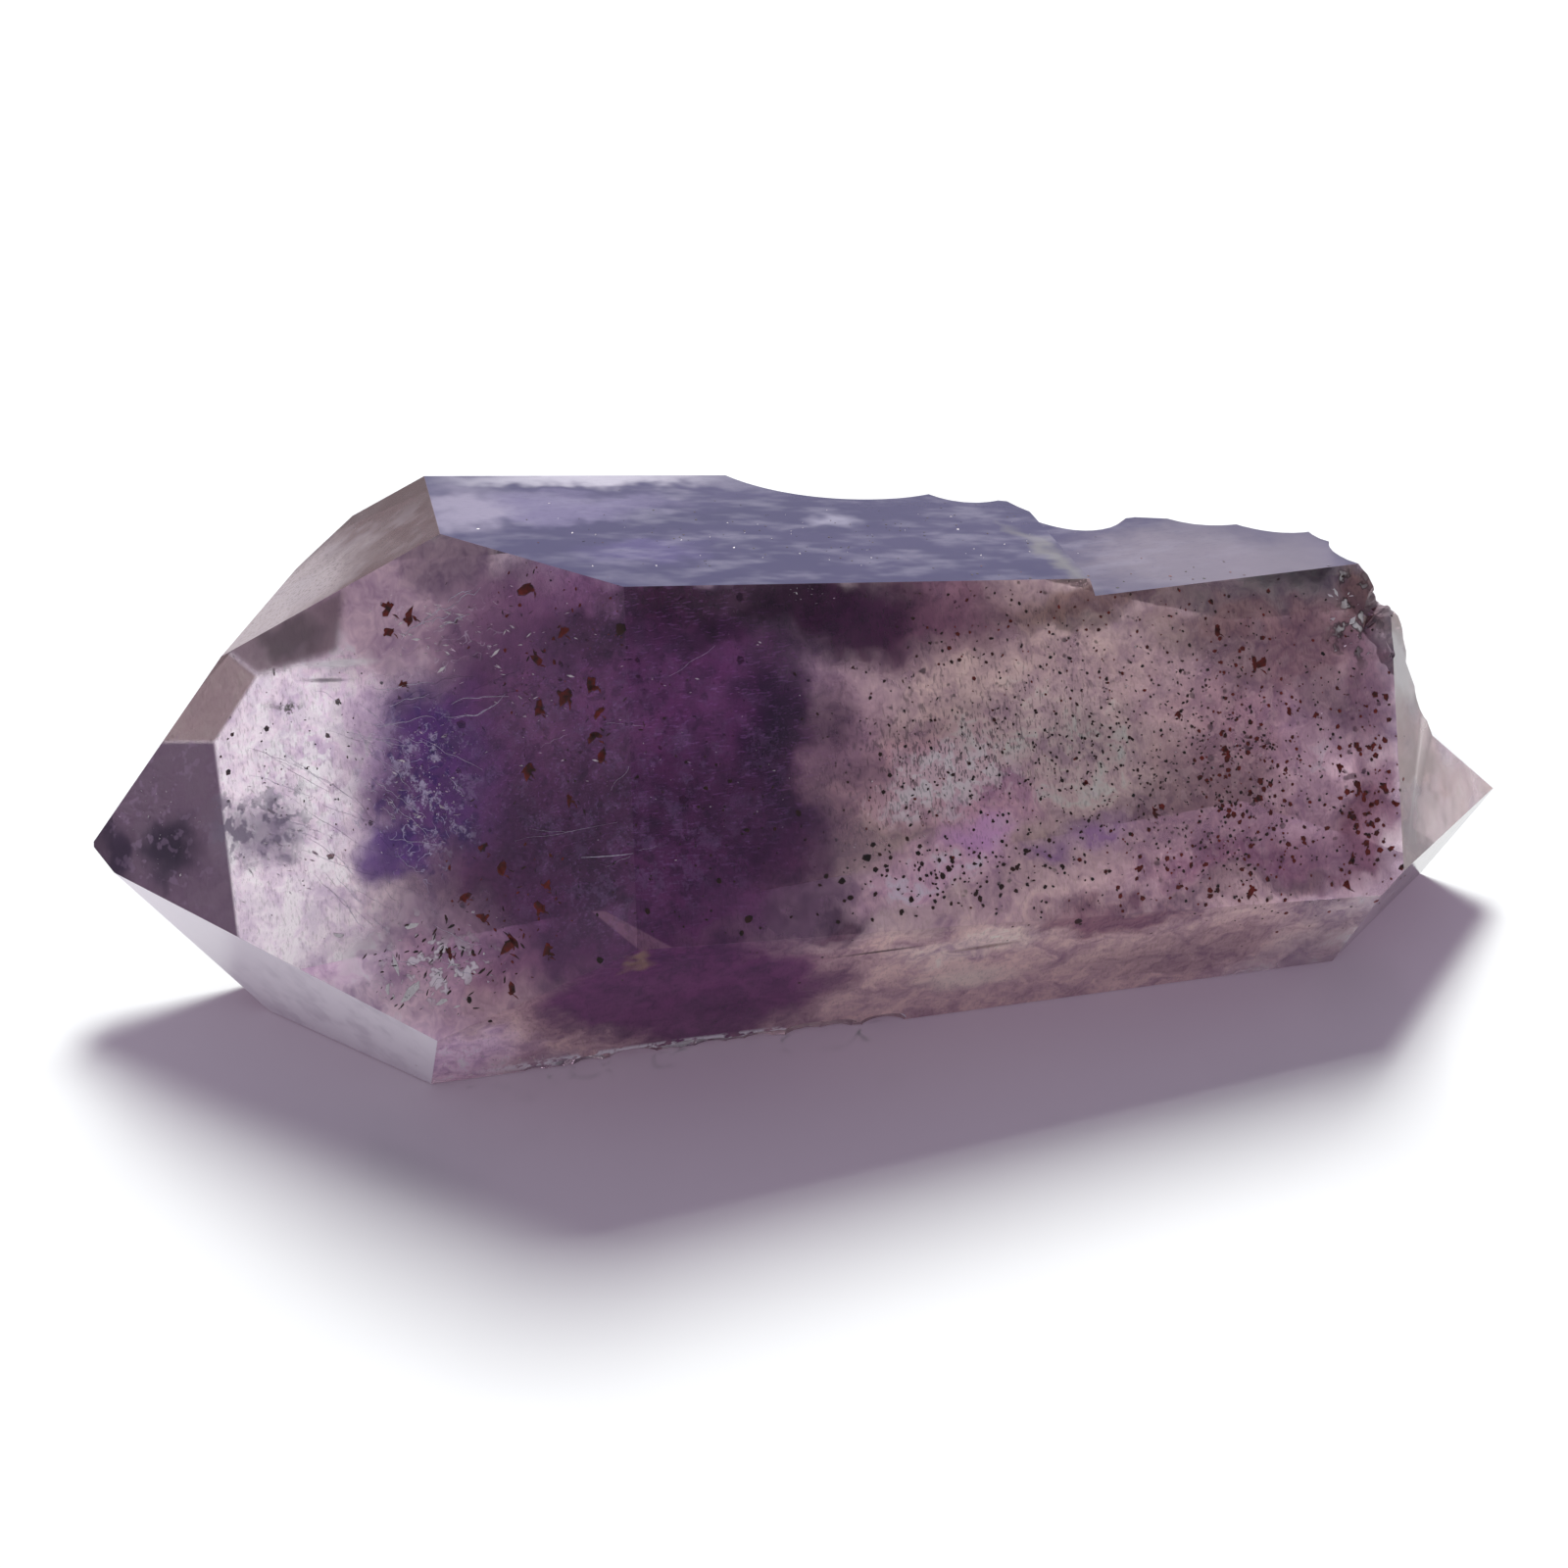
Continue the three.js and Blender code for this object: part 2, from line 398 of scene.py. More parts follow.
# The broad colours, from the pale far half through the plum middle to the point and the lower face.
ZONES = (
    ColourZone((1060, 760), 15.0, 16.0, "#d9c2ba", 0.36),
    ColourZone((1290, 780), 8.5, 9.0, "#b18796", 0.4, 0.9),
    ColourZone((640, 800), 11.8, 13.0, "#662a66", 0.38, heart=0.52),
    ColourZone((945, 622), 6.0, 2.6, "#7a4c68", 0.5, 0.95),
    ColourZone((770, 612), 10.0, 1.9, "#32062c", 0.82, 0.98),
    ColourZone((868, 628), 4.0, 2.0, "#450a40", 0.7, 0.92),
    ColourZone((797, 735), 1.7, 5.0, "#3c0f42", 0.7, 0.92),
    ColourZone((690, 925), 4.4, 3.0, "#622a60", 0.9, 0.97, 0.5),
    ColourZone((872, 745), 2.6, 4.4, "#9c7090", 0.45, 0.65, 0.1),
    ColourZone((965, 790), 4.4, 2.8, "#ffc8d6", 0.5, 0.9),
    ColourZone((955, 897), 4.4, 1.5, "#ffd4e4", 0.7, 0.88),
    ColourZone((1275, 885), 7.5, 1.7, "#8a5874", 0.75, 0.9),
    ColourZone((1285, 912), 9.0, 0.9, "#633c55", 0.85, 0.9),
    ColourZone((1110, 610), 4.6, 1.0, "#8d6a62", 0.85, 0.85),
    ColourZone((1270, 622), 5.4, 1.6, "#a27a7c", 0.8, 0.85),
    ColourZone((1325, 650), 4.2, 2.6, "#a87e88", 0.85, 0.9),
    ColourZone((1385, 612), 2.0, 2.8, "#86605f", 0.9, 0.95),
    ColourZone((1396, 695), 2.4, 4.0, "#83586e", 0.8, 0.93),
    ColourZone((1396, 840), 2.2, 4.8, "#845069", 0.6, 0.95),
    ColourZone((1090, 765), 6.6, 4.4, "#ffe8de", 0.6, 0.88),
    ColourZone((1335, 780), 2.4, 4.2, "#f0ccdc", 0.5, 0.85),
    ColourZone((1010, 835), 3.4, 1.6, "#ffccde", 0.6, 0.85, deep=8.0),
    ColourZone((395, 600), 6.4, 4.4, "#dbbecc", 0.55, 0.97, heart=0.45, face=BROAD),
    ColourZone((490, 620), 3.4, 3.2, "#8f668a", 0.5, 0.85, face=BROAD),
    ColourZone((440, 560), 3.4, 1.6, "#a48a9a", 0.85, 0.9, face=BROAD),
    ColourZone((560, 680), 4.4, 6.0, "#6a3a68", 0.38, 0.9),
    ColourZone((340, 1040), 6.4, 3.8, "#dccbdc", 0.92, 0.97, 0.5, face=BROAD),
    ColourZone((465, 985), 4.8, 3.2, "#b48ca8", 0.85, 0.92, face=BROAD),
    ColourZone((535, 1005), 3.6, 3.0, "#8a5a7c", 0.9, 0.92, 0.4, face=BROAD),
    ColourZone((600, 950), 3.6, 3.0, "#582a58", 0.92, 0.97, 0.5, face=BROAD),
    ColourZone((305, 960), 4.4, 3.2, "#ffffff", 0.15, 0.88, 0.4, face=BROAD),
    ColourZone((425, 800), 4.6, 5.6, "#6a3c7c", 0.38, heart=0.2, face=BROAD),
    ColourZone((440, 745), 3.2, 2.8, "#4e1478", 0.5, 0.92, 0.1, deep=8.0, face=BROAD, border=WISPY),
    ColourZone((465, 815), 3.0, 3.0, "#521a74", 0.45, 0.8, 0.1, deep=8.0, face=BROAD),
    ColourZone((402, 868), 2.2, 1.6, "#541c8a", 0.5, 0.95, deep=8.0, face=BROAD, border=WISPY),
    ColourZone((376, 745), 2.0, 3.0, "#ead4f8", 0.35, 0.7, 0.1, deep=8.0, face=BROAD, border=WISPY),
    ColourZone((345, 725), 2.6, 2.8, "#fff2ff", 0.12, 0.88, deep=8.0, face=BROAD),
    ColourZone((900, 1010), 24.0, 5.4, "#dabeba", 0.75, 0.97, 0.6, face=LOWER),
    ColourZone((700, 1015), 8.2, 4.8, "#5e245c", 0.85, 0.98, 0.5, face=LOWER),
    ColourZone((460, 1080), 4.2, 2.4, "#f8e0f4", 0.75, 0.9, face=LOWER),
    ColourZone((1000, 965), 4.6, 1.3, "#f2e2d6", 0.8, 0.9, face=LOWER),
    ColourZone((1140, 940), 4.6, 1.3, "#7c5066", 0.85, 0.9, face=LOWER),
    ColourZone((860, 942), 2.4, 1.3, "#5a3450", 0.85, 0.9, face=LOWER),
    ColourZone((1220, 970), 7.4, 1.7, "#b09496", 0.85, 0.85, face=LOWER),
)

# What lies under the faces in finer shapes: patches, films, veins and the grains that break colours up.
DETAILS = (
    ColourZone((960, 795), 3.2, 1.9, "#ffdae4", 0.75, 0.85, deep=5.0),
    ColourZone((1000, 848), 2.6, 1.2, "#f4b0f0", 0.8, 0.85, 0.05, deep=5.0, border=WISPY),
    ColourZone((1075, 870), 1.8, 0.9, "#7c3f96", 0.85, 0.7, 0.05, deep=5.0, border=WISPY),
    ColourZone((1120, 846), 2.3, 1.0, "#9a60b0", 0.85, 0.7, 0.05, deep=5.0, border=WISPY),
    ColourZone((172, 866), 2.0, 1.8, "#2e1038", 0.9, 0.95, face=BROAD, border=WISPY, deep=6.0),
    ColourZone((116, 868), 1.2, 1.8, "#3c1c46", 0.9, 0.9, face=BROAD, border=WISPY, deep=6.0),
    ColourZone((160, 850), 4.0, 6.0, "#a884ac", 0.8, 0.35, face=BROAD, grain=FLECKS, cover=0.25, deep=6.0),
    ColourZone((290, 652), 2.4, 1.2, "#54404a", 0.85, 0.8, face=BROAD, border=WISPY, deep=6.0),
    ColourZone((333, 694), 1.5, 0.13, "#6c5c64", 0.9, 0.8, 0.1, deep=3.0, tilt=8, face=BROAD, border=CRISP),
    ColourZone(
        (345, 677), 2.4, 0.24, "#ffffff", 0.4, 0.97, 0.2,
        deep=3.0, tilt=6, face=BROAD, border=CRISP,
    ),
    ColourZone((315, 800), 3.4, 5.6, "#9f8cb8", 0.8, 0.25, deep=4.0, face=BROAD, grain=CLOUDS, cover=0.4),
    ColourZone((305, 800), 3.6, 4.8, "#ffffff", 0.1, 0.85, deep=4.0, face=BROAD, grain=FLECKS, cover=0.55),
    ColourZone((262, 850), 2.8, 2.0, "#75647e", 0.85, 0.85, deep=4.0, face=BROAD, grain=FLECKS, cover=0.55),
    ColourZone((268, 848), 3.0, 2.0, "#84748e", 0.85, 0.75, 0.1, deep=4.0, face=BROAD, border=WISPY),
    ColourZone(
        (290, 722), 0.8, 0.42, "#6a645e", 0.9, 0.95,
        deep=3.0, face=BROAD, border=WISPY, grain=SUGAR, cover=0.7,
    ),
    ColourZone((432, 800), 3.8, 5.2, "#340870", 0.6, 0.75, deep=5.0, face=BROAD, grain=FLECKS, cover=0.4),
    ColourZone(
        (436, 800), 3.0, 4.4, "#efe4ff", 0.8, 0.7, 0.1,
        deep=5.0, face=BROAD, grain=SUGAR, cover=0.4,
    ),
    ColourZone((420, 810), 4.0, 5.6, "#e6dcf8", 0.8, 0.7, deep=5.0, face=BROAD, grain=VEINS),
    ColourZone((455, 640), 4.4, 2.6, "#e2d4e4", 0.8, 0.6, deep=5.0, face=BROAD, grain=VEINS),
    ColourZone((450, 985), 4.0, 2.6, "#54344a", 0.8, 0.7, deep=5.0, face=BROAD, grain=FLECKS, cover=0.4),
    ColourZone((440, 985), 3.4, 2.2, "#fff0fa", 0.95, 0.85, deep=5.0, face=BROAD, grain=FLECKS, cover=0.3),
    ColourZone((440, 988), 3.8, 2.4, "#40202e", 0.85, 0.7, deep=5.0, face=BROAD, grain=VEINS),
    ColourZone((645, 988), 0.9, 0.4, "#a88868", 0.8, 0.6, 0.1, deep=4.0, border=WISPY),
    ColourZone((650, 780), 10.5, 10.0, "#a066ae", 0.7, 0.4, deep=30.0, grain=DASHES, cover=0.2),
    ColourZone((650, 780), 10.5, 10.0, "#2c0a34", 0.7, 0.4, deep=30.0, grain=FLECKS, cover=0.35),
    ColourZone((640, 800), 9.0, 7.0, "#b48cc8", 0.8, 0.22, deep=30.0, grain=SUGAR, cover=0.45),
    ColourZone((950, 780), 5.8, 4.2, "#54404c", 0.8, 0.6, deep=5.0, grain=STREAKS, cover=0.4),
    ColourZone((965, 798), 3.8, 2.2, "#fff0f4", 0.85, 0.85, deep=5.0, grain=FLECKS, cover=0.55),
    ColourZone((1020, 720), 8.0, 6.0, "#64505a", 0.8, 0.45, deep=5.0, grain=STREAKS, cover=0.35),
    ColourZone((1180, 760), 12.0, 8.0, "#ecc8ca", 0.8, 0.3, deep=5.0, grain=FLECKS, cover=0.4),
    # At the broken corner, a dark glassy patch; the white flecks on it are painted glints.
    ColourZone((1380, 625), 2.2, 3.4, "#2a1418", 0.9, 0.85, deep=5.0, grain=FLECKS, cover=0.5),
    ColourZone((1374, 615), 1.6, 2.2, "#fff6f6", 0.8, 0.8, deep=5.0, grain=FLECKS, cover=0.18),
    ColourZone((898, 971), 2.7, 0.11, "#2c1a22", 0.95, 0.9, 0.1, deep=3.0, face=LOWER, border=CRISP),
    ColourZone(
        (1005, 966), 2.2, 0.2, "#7c6058", 0.9, 0.7, 0.1,
        deep=3.0, tilt=-2, face=LOWER, border=CRISP,
    ),
    ColourZone(
        (985, 998), 3.2, 1.3, "#ffeadc", 0.85, 0.75, 0.1,
        deep=4.0, tilt=8, face=LOWER, border=WISPY,
    ),
    ColourZone(
        (670, 1069), 9.4, 0.5, "#fbfaff", 0.95, 0.9, 0.5,
        deep=3.0, face=LOWER, border=CRISP, grain=FLECKS, cover=0.7,
    ),
)

# What shows on a face's own skin only.
SURFACE_ZONES = (
    # A painted highlight on the glassy knob of the small right face.
    ColourZone((1428, 676), 1.6, 2.2, "#ffffff", 0.8, 0.7, face=SMALL, only=True),
    ColourZone((1442, 775), 2.2, 1.5, "#a58a88", 0.8, 0.85, face=SMALL, only=True),
    ColourZone((1470, 840), 2.6, 1.6, "#f0d6d6", 0.6, 0.8, face=SMALL, only=True),
    # The top face: its blue-grey is partly a painted reflection of a blue sky, and the pale band along its
    # far edge, at (600, 487), is a painted sheen.
    ColourZone((560, 520), 7.0, 1.6, "#867da0", 0.9, 0.8, face=TOP, only=True),
    ColourZone((600, 487), 8.6, 1.8, "#d6d0de", 0.9, 0.85, 0.1, face=TOP, only=True),
    ColourZone((470, 520), 2.6, 2.6, "#a39bb2", 0.85, 0.85, face=TOP, only=True),
    ColourZone((1240, 570), 8.0, 5.0, "#8c8392", 0.85, 0.95, face=TOP, only=True),
    ColourZone((660, 562), 3.6, 1.3, "#665c8c", 0.85, 0.7, face=TOP, border=WISPY, only=True),
    ColourZone((850, 545), 24.0, 9.0, "#aaa5b8", 0.9, 0.35, face=TOP, grain=CLOUDS, cover=0.35, only=True),
    ColourZone((850, 545), 24.0, 9.0, "#4d486e", 0.9, 0.3, face=TOP, grain=DASHES, cover=0.3, only=True),
    ColourZone((850, 530), 1.4, 0.9, "#ccc6da", 0.9, 0.45, 0.1, face=TOP, border=WISPY, only=True),
    ColourZone(
        (1076, 566), 0.8, 4.6, "#9b9890", 0.95, 0.5, 0.1, tilt=-21,
        face=TOP, border=WISPY, only=True,
    ),
    ColourZone((270, 625), 6.4, 4.4, "#cdbfc2", 0.8, 0.9, face=NARROW, only=True),
    ColourZone((330, 580), 9.0, 4.0, "#5e4c54", 0.8, 0.4, face=NARROW, grain=DASHES, cover=0.35, only=True),
    ColourZone((330, 580), 9.0, 4.0, "#b8acb4", 0.8, 0.35, face=NARROW, grain=CLOUDS, cover=0.4, only=True),
    ColourZone((330, 1040), 7.0, 4.0, "#d8cedc", 0.8, 0.5, face=UNDER, grain=CLOUDS, cover=0.4, only=True),
    ColourZone((400, 1030), 8.0, 8.0, "#a08898", 1.0, 0.9, face=BASE, only=True),
)

ROD = ((604, 930), (618, 930), (688, 968), (682, 993))

# Painted refraction: crisp patches of the shade and light that the far facets show at the point's nose, at
# its shoulder and in brown above it. The last is a real clear rod, which crosses the edge between two faces
# and so is laid behind both.
REFRACTION_AND_ROD_PATCHES = (
    PaintedRefractionOrRodPatch(((90, 757), (219, 757), (243, 950), (250, 1010), (90, 1010)), "#6c4a68", 0.85, 0.97),
    PaintedRefractionOrRodPatch(((219, 757), (262, 690), (225, 660), (150, 700), (90, 757)), "#a88686", 0.8, 0.92),
    PaintedRefractionOrRodPatch(((262, 690), (345, 665), (352, 600), (225, 660)), "#8a6c78", 0.8, 0.95, 0.3),
    PaintedRefractionOrRodPatch(ROD, "#b27e98", 0.8, 0.45, 0.05, HabitFace.FRONT),
    PaintedRefractionOrRodPatch(ROD, "#b27e98", 0.8, 0.45, 0.05),
)


@dataclass(frozen=True)
class FaceSkin:
    """What a face's own skin adds: its tint, its cover, how milky and frosted it is, and its lines."""

    tint: str
    cover: float
    milk: float
    frost: float
    lined: float = 0.0


EVERYWHERE = 2.0
PLAIN_SKIN = FaceSkin("#e6dfe8", 0.02, 1.0, 0.03)
BROKEN_SKIN = FaceSkin("#8f7f88", 0.5, 0.8, 0.1)
SKINS = {
    # The top face's milky skin: its blue-grey tint is partly a painted reflection of a blue sky.
    HabitFace.TOP: FaceSkin("#4f4a6e", EVERYWHERE, 0.86, 0.12, 0.3),
    HabitFace.TIP_NARROW: FaceSkin("#6e5254", EVERYWHERE, 0.7, 0.1),
    HabitFace.TIP_LOWER: FaceSkin("#fff6ff", EVERYWHERE, 0.97, 0.06),
    HabitFace.FRONT: replace(PLAIN_SKIN, lined=0.45),
    HabitFace.FRONT_LOWER: replace(PLAIN_SKIN, lined=0.4),
    HabitFace.TIP_BROAD: replace(PLAIN_SKIN, lined=0.15),
    HabitFace.BACK_LOWER: FaceSkin("#d8cfd8", 0.08, 1.0, 0.3, 1.0),
    HabitFace.BACK: FaceSkin("#d8cfd8", 0.08, 1.0, 0.15, 1.0),
    HabitFace.RIGHT_TIP: FaceSkin("#dcb9b2", 0.75, 0.5, 0.05),
    # The resting face: a frosted base, its dark mauve partly painted shade of the floor under the crystal.
    HabitFace.RESTING: FaceSkin("#54444f", EVERYWHERE, 1.0, 0.3, 0.3),
}


@dataclass
class Canvas:
    """The quartz's node tree, what its colour layers share, and the colour and milk so far."""

    tree: bpy.types.NodeTree
    view: PhotoView
    faces: dict[HabitFace, Plane]
    places: dict[Border, bpy.types.NodeSocket] = field(default_factory=dict)
    shared: dict[object, bpy.types.NodeSocket] = field(default_factory=dict)
    colour: bpy.types.NodeSocket | None = None
    milk: bpy.types.NodeSocket | None = None

    def add(self, kind: str, inputs: dict, output: str | int = 0, **settings) -> bpy.types.NodeSocket:
        """Adds a node.

        Args:
            kind: The node's type name.
            inputs: Values or output sockets, by input name or number.
            output: Which output is wanted.
            settings: The node's own properties.

        Returns:
            The output.
        """
        return add_node(self.tree, kind, inputs, **settings).outputs[output]

    def once(
        self,
        key: object,
        kind: str,
        inputs: dict,
        output: str | int = 0,
        **settings,
    ) -> bpy.types.NodeSocket:
        """Adds a node the first time that it is asked for, and hands out the same one after that.

        Args:
            key: What the node is known by.
            kind: The node's type name.
            inputs: Values or output sockets, by input name or number.
            output: Which output is wanted.
            settings: The node's own properties.

        Returns:
            The output.
        """
        if key not in self.shared:
            self.shared[key] = self.add(kind, inputs, output, **settings)
        return self.shared[key]

    def own(self, name: str, output: str = "Fac") -> bpy.types.NodeSocket:
        """Reads one of the mesh's own face attributes."""
        return self.once((name, output), "ShaderNodeAttribute", {}, output, attribute_name=name)

    def maths(self, operation: str, *values: bpy.types.NodeSocket | float) -> bpy.types.NodeSocket:
        """Adds a Math node."""
        return self.add("ShaderNodeMath", dict(enumerate(values)), operation=operation)

    def vector(self, operation: str, *values: object, output: str = "Vector") -> bpy.types.NodeSocket:
        """Adds a Vector Math node."""
        return self.add("ShaderNodeVectorMath", dict(enumerate(values)), output, operation=operation)

    def blend(self, share: bpy.types.NodeSocket, below: object, above: object) -> bpy.types.NodeSocket:
        """Mixes one colour over another by a share."""
        tones = {"Factor": share, "A": below, "B": above}
        return self.add("ShaderNodeMix", tones, "Result", data_type="RGBA")

    def times(
        self,
        share: bpy.types.NodeSocket,
        other: bpy.types.NodeSocket | float,
    ) -> bpy.types.NodeSocket:
        """Multiplies two shares and keeps the result between 0 and 1."""
        return self.add("ShaderNodeMath", {0: share, 1: other}, operation="MULTIPLY", use_clamp=True)

    def ramp(
        self,
        value: bpy.types.NodeSocket,
        low: float,
        high: float,
        start: float = 0.0,
        end: float = 1.0,
        kind: str = "SMOOTHSTEP",
    ) -> bpy.types.NodeSocket:
        """Leads a value from one range to another, and holds it there.

        Args:
            value: The value.
            low: Where the start is given.
            high: Where the end is given.
            start: The result at low.
            end: The result at high.
            kind: How it goes from one to the other.

        Returns:
            The result.
        """
        ends = {"Value": value, "From Min": low, "From Max": high, "To Min": start, "To Max": end}
        return self.add("ShaderNodeMapRange", ends, "Result", interpolation_type=kind)

    def noise(
        self,
        place: bpy.types.NodeSocket,
        size: float,
        detail: float,
        roughness: float = 0.6,
        output: str = "Fac",
    ) -> bpy.types.NodeSocket:
        """Adds a cloud noise.

        Args:
            place: Where it is read.
            size: The size of its largest billows, in millimetres.
            detail: How many finer layers it has.
            roughness: How strong the finer layers are.
            output: Which output is wanted.

        Returns:
            The output.
        """
        inputs = {"Vector": place, "Scale": 1 / (size * MM), "Detail": detail, "Roughness": roughness}
        return self.add("ShaderNodeTexNoise", inputs, output)

    def pushed(self, place: bpy.types.NodeSocket, push: float, size: float) -> bpy.types.NodeSocket:
        """Pushes the place about by a noise, so that what is laid there gets a natural border.

        Args:
            place: The place so far.
            push: How far it is pushed at most, in millimetres.
            size: How large the billows are, in millimetres.

        Returns:
            The pushed place.
        """
        cloud = self.noise(place, size, detail=2.0, roughness=0.7, output="Color")
        reach = push * MM
        pushed = self.vector("MULTIPLY_ADD", cloud, (2 * reach,) * 3, place)
        return self.vector("SUBTRACT", pushed, (reach,) * 3)

    def frame(self, border: Border, ways: tuple[Vector, ...], key: object) -> bpy.types.NodeSocket:
        """Measures the place along three directions, once for all zones that share them.

        Args:
            border: Which kind of border reads it.
            ways: The directions.
            key: What the directions are known by.

        Returns:
            The place along them.
        """
        known = (border, key)
        if known not in self.shared:
            place = self.places[border]
            along = [self.vector("DOT_PRODUCT", place, way, output="Value") for way in ways]
            self.shared[known] = self.add("ShaderNodeCombineXYZ", dict(enumerate(along)))
        return self.shared[known]

    def grained(self, grain: Grain, cover: float) -> bpy.types.NodeSocket:
        """Breaks a zone up into grains or veins.

        Args:
            grain: What breaks it up.
            cover: The share of the zone that keeps its colour.

        Returns:
            The share of the zone's colour at each place, from 0 to 1.
        """
        round_girth = 1 / (grain.size * grain.stretch * MM)
        scale = (1 / (grain.size * MM), round_girth, round_girth)
        inputs = {"Vector": self.places[CRISP], "Scale": scale}
        fine = self.once((grain, "place"), "ShaderNodeMapping", inputs)
        inputs = {"Vector": fine, "Scale": 1.0, "Detail": grain.detail, "Roughness": grain.roughness}
        cloud = self.once((grain, "noise"), "ShaderNodeTexNoise", inputs, "Fac")
        if not grain.veined:
            bare = NOISE_TOP - NOISE_SPAN * cover
            return self.ramp(cloud, bare - grain.soft / 2, bare + grain.soft / 2)
        if grain not in self.shared:
            away = self.maths("ABSOLUTE", self.maths("SUBTRACT", cloud, 0.5))
            vein = self.ramp(away, 0.0, grain.soft, 1.0, 0.0)
            self.shared[grain] = self.times(vein, self.grained(FLECKS, cover))
        return self.shared[grain]

    def lay(self, share: bpy.types.NodeSocket, tint: object, milk: object) -> None:
        """Mixes a colour and a milkiness, as values or sockets, over the look so far by a share."""
        self.colour = self.blend(share, self.colour, tint)
        self.milk = self.add("ShaderNodeMix", {"Factor": share, "A": self.milk, "B": milk}, "Result")

    def zone(self, zone: ColourZone) -> None:
        """Lays one colour zone over the look so far."""
        ways, middle, reach = zone.setting(self.view, self.faces[zone.face])
        place = self.frame(zone.border, ways, (zone.face, zone.tilt))
        shares = [1 / r for r in reach]
        inside = self.vector("MULTIPLY_ADD", place, shares, [-m / r for m, r in zip(middle, reach)])
        away = self.vector("LENGTH", inside, output="Value")
        share = self.ramp(away, zone.heart, 1.0, zone.strength, 0.0)
        if zone.grain:
            share = self.times(share, self.grained(zone.grain, zone.cover))
        if zone.only:
            share = self.times(share, self.own(zone.face.mask()))
        self.lay(share, linear(zone.tint), zone.milk)

    def patch(self, patch: PaintedRefractionOrRodPatch) -> None:
        """Lays one crisp patch over the look so far: painted refraction of a hidden facet, or a real rod.
        """
        share = self.own(patch.face.mask())
        soft = patch.soft * MM
        for normal, offset in patch.sides(self.view, self.faces[patch.face]):
            height = self.vector("DOT_PRODUCT", self.places[CRISP], normal, output="Value")
            share = self.times(share, self.ramp(height, offset - soft, offset + soft))
        self.lay(self.times(share, patch.strength), linear(patch.tint), patch.milk)


